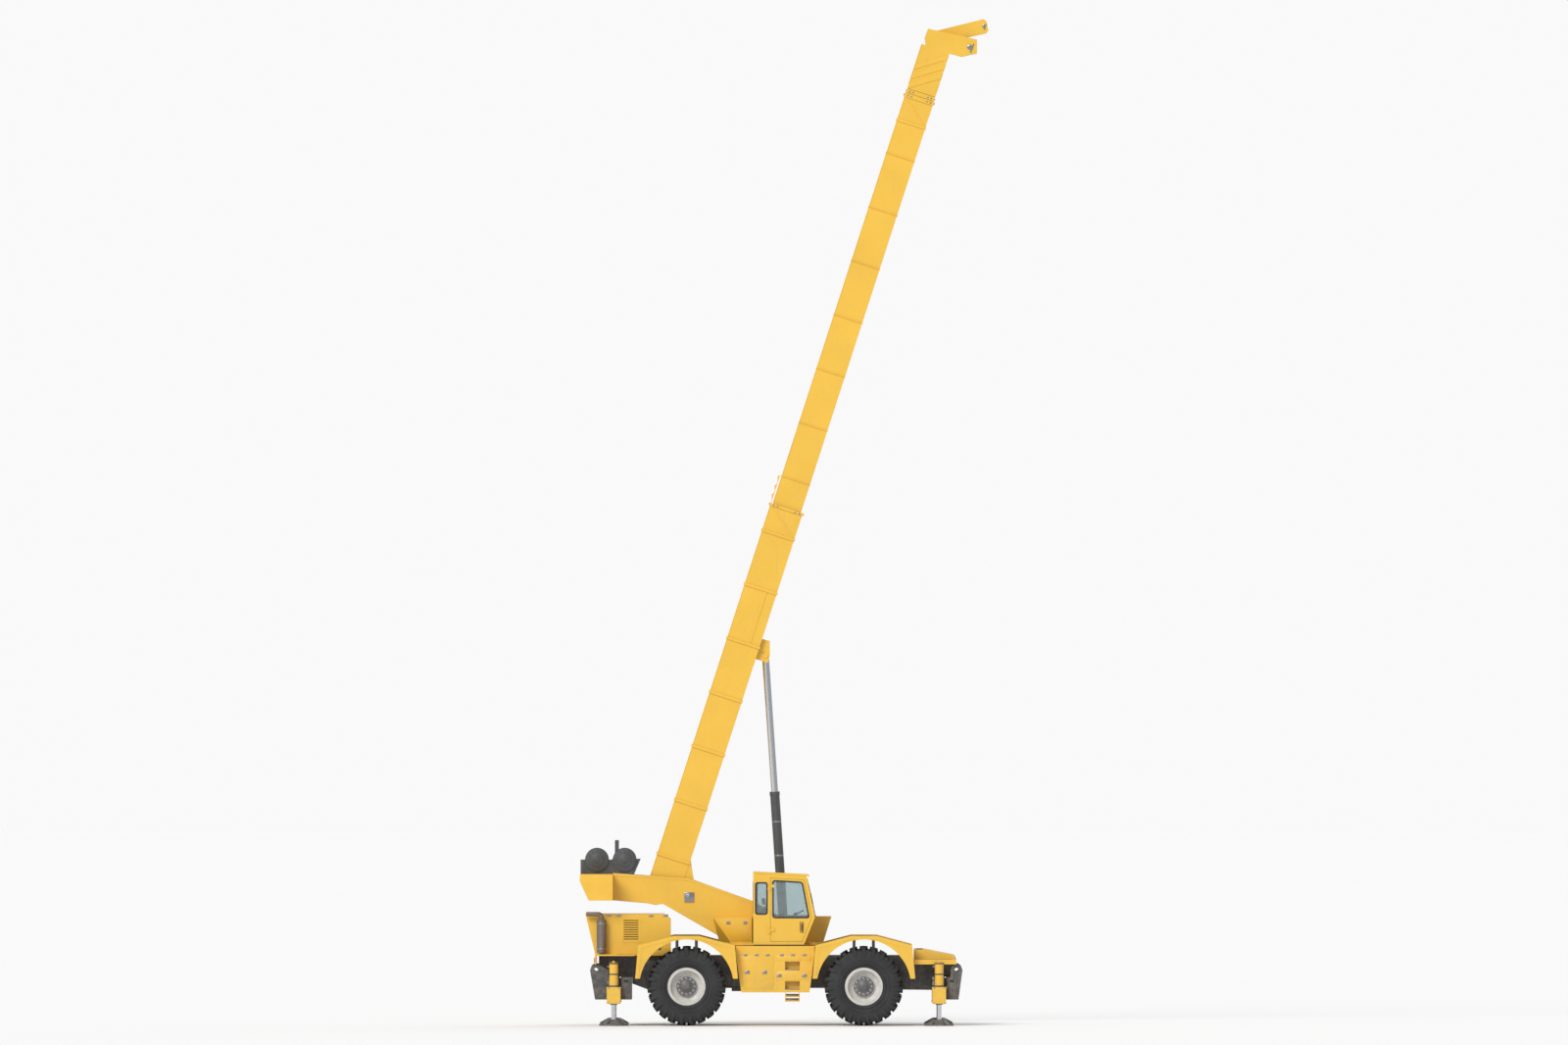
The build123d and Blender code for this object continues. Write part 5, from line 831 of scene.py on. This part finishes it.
mount_piece(bellows, gasket, "turntable")
frame_parts = [plate("chair_pan", (-0.375, 0.085), (chair_y - 0.225, chair_y + 0.225),
                     (1.948, 1.974), 0.008)]
back_plate = plate("back_plate", (-0.30, 0.30), (-0.195, 0.195), (-0.048, -0.034), 0.006)
back_plate.data.transform(Matrix.Translation((-0.408, chair_y, 2.33)) @ lean_back)
frame_parts.append(back_plate)
mount_piece(join("chair_frame", frame_parts), charcoal, "turntable")

# Controls: moulded plastic consoles with padded arm rests, a padded wheel rim, and ball knobs
# over rubber boots on the levers.
plastic = coarse_finish("console_plastic", (0.075, 0.078, 0.082), grain=170, depth=0.0012,
                        rough=0.62)
dress(plastic, "cab_controls")
wheel_axis = (-0.5, 0, 0.866)
bpy.ops.object.select_all(action="DESELECT")
bpy.ops.mesh.primitive_torus_add(major_segments=64, minor_segments=14, major_radius=0.1725,
                                 minor_radius=0.0165, location=(0, 0, 0))
wheel_rim = bpy.context.object
wheel_rim.rotation_mode = "QUATERNION"
wheel_rim.rotation_quaternion = Vector(wheel_axis).to_track_quat("Z", "Y")
wheel_rim.location = (0.2395, chair_y, 2.2865)
finish_shape(wheel_rim, "wheel_rim")
hub = turned("wheel_hub", [(0, 0.05), (0.02, 0.046), (0.03, 0.034), (0.034, 0.012)],
             (0.2345, chair_y, 2.295), wheel_axis, ease=0.001)
grips = [wheel_rim, hub]
for y in (chair_y - 0.285, chair_y + 0.285):
    grips.append(turned("lever_boot", [(0, 0.046), (0.010, 0.046), (0.014, 0.034), (0.022, 0.036),
                                       (0.028, 0.024), (0.036, 0.026), (0.048, 0.012)],
                        (-0.005, y, 2.149), (0, 0, 1), sides=32, ease=0.001))
    grips.append(turned("knob", [(0, 0.010), (0.006, 0.020), (0.022, 0.027), (0.040, 0.027),
                                 (0.054, 0.020), (0.060, 0.008)], (-0.005, y, 2.286), (0, 0, 1),
                        sides=32, ease=0.002))
mount_piece(join("hand_grips", grips), gasket, "turntable")
for y, label in ((chair_y - 0.285, "right"), (chair_y + 0.285, "left")):
    pad = stuffed(f"arm_pad_{label}", (0.230, 0.062, 0.036), cap=0.004)
    pad = sewn(pad, ())
    pad.data.transform(Matrix.Translation((-0.222, y, 2.171)))
    mount_piece(pad, gasket, "turntable")

# Boom: each section is a welded box tube with hoops round it, painted over its seams. Adjusting
# screws round each mouth hold the wear pads.
dress(yellow, "boom_base", "boom_second", "boom_third", "boom_head", "boom_nose")
boom_angle = radians(72.06)
boom_cos, boom_sin = cos(boom_angle), sin(boom_angle)
along_boom = Matrix(((boom_cos, 0, -boom_sin, pivot_x), (0, 1, 0, 0),
                     (boom_sin, 0, boom_cos, pivot_z), (0, 0, 0, 1)))


def on_boom(piece, finish, body):
    """Lays a piece made along the x axis, with z up from the pivot's line, on the boom."""
    piece.data.transform(along_boom)
    return mount_piece(piece, finish, body)


for name, body, start, end, half_wide, low, high in (
    ("base", "boom", -0.26, 8.262, 0.260, 0.211, 0.899),
    ("second", "boom_two", 8.30, 17.09, 0.225, 0.252, 0.858),
    ("head", "boom_four", 17.38, 18.23, 0.225, 0.252, 0.858),
):
    seams = [plate("seam", (start, end), (hand * half_wide - 0.006, hand * half_wide + 0.006),
                   (z - 0.006, z + 0.006), 0.003)
             for hand in (-1, 1) for z in (low + 0.001, high - 0.001)]
    on_boom(join(f"weld_seams_{name}", seams), yellow, body)
for name, body, mouth, face, low, high in (
    ("base", "boom", 8.237, 0.2835, 0.187, 0.923), ("second", "boom_two", 17.140, 0.2445, 0.232,
                                                    0.878),
    ("third", "boom_three", 17.232, 0.2245, 0.252, 0.858),
):
    screws = []
    for hand in (-1, 1):
        spots = [(mouth, hand * (face + 0.005), low + (high - low) * k)
                 for k in (0.12, 0.24, 0.76, 0.88)]
        screws.append(bolt_row("side_screws", spots, (0, hand, 0), 0.017, 0.014))
        for z, way in ((low - 0.006, -1), (high + 0.006, 1)):
            spots = [(mouth, hand * face * k, z) for k in (0.35, 0.75)]
            screws.append(bolt_row("flat_screws", spots, (0, 0, way), 0.017, 0.014))
    on_boom(join(f"pad_screws_{name}", screws), bare_steel, body)

# Boom head: cast sheaves on a pin with a keeper plate each side, and the same on the nose.
dress(bare_steel, "head_sheaves", "nose_sheave")
keepers = []
for hand in (-1, 1):
    for s, t, radius, face in ((18.480, -0.110, 0.052, 0.2250), (18.985, -0.250, 0.034, 0.0850)):
        keepers.append(turned("pin_washer", [(0, radius), (0.010, radius), (0.012, radius * 0.75),
                                              (0.018, radius * 0.7), (0.020, radius * 0.2)],
                              (s, hand * face, t), (0, hand, 0), ease=0.001))
        keepers.append(plate("keeper", (s - 1.9 * radius, s + 1.9 * radius),
                             sorted((hand * (face + 0.009), hand * (face + 0.017))),
                             (t - 1.15 * radius, t - 0.6 * radius), 0.002))
        keepers.append(bolt_row("keeper_bolts", [(s + i * 1.55 * radius, hand * (face + 0.020),
                                                  t - 0.875 * radius) for i in (-1, 1)],
                                (0, hand, 0), 0.2 * radius, 0.01))
on_boom(join("sheave_keepers", keepers), bare_steel, "boom_four")

# Lift cylinder: a painted barrel with a bolted gland, a feed pipe clamped along its back and a
# hard-chromed rod.
dress(charcoal, "lift_barrel")
dress(chrome, "lift_rod")
lift_foot = Vector((0.001, 0, 1.887))
lift_eye = along_boom @ Vector((5.235, 0, 0.040))
lift_axis = (lift_eye - lift_foot).normalized()
lift_at = Matrix.Translation(lift_foot) @ lift_axis.to_track_quat("Z", "Y").to_matrix().to_4x4()

gland = hoop("gland", [(0.075, 2.9285), (0.1035, 2.9285), (0.1035, 2.934), (0.100, 2.938),
                       (0.075, 2.938)])
gland_bolts = bolt_row("gland_bolts", [(0.093 * cos(pi * i / 5), 0.093 * sin(pi * i / 5), 2.941)
                                       for i in range(10)], (0, 0, 1), 0.008, 0.010)
feed = [turned("feed_pipe", [(0, 0.012), (2.45, 0.012)], (-0.118, 0, 0.36), (0, 0, 1), sides=20)]
for z in (0.36, 2.81):
    feed.append(turned("feed_end", [(0, 0.018), (0.035, 0.018)], (-0.128, 0, z), (1, 0, 0),
                       sides=20, ease=0.002))
for z in (0.9, 1.6, 2.3):
    feed.append(plate("pipe_clamp", (-0.136, -0.094), (-0.026, 0.026), (z, z + 0.035), 0.005))
    feed.append(hoop("clamp_ring", [(0.0972, z + 0.002), (0.1005, z + 0.002),
                                    (0.1005, z + 0.032), (0.0972, z + 0.032)]))
barrel_trim = join("cylinder_trim", [gland, gland_bolts] + feed)
barrel_trim.data.transform(lift_at)
mount_piece(barrel_trim, bare_steel, "lift_cylinder")
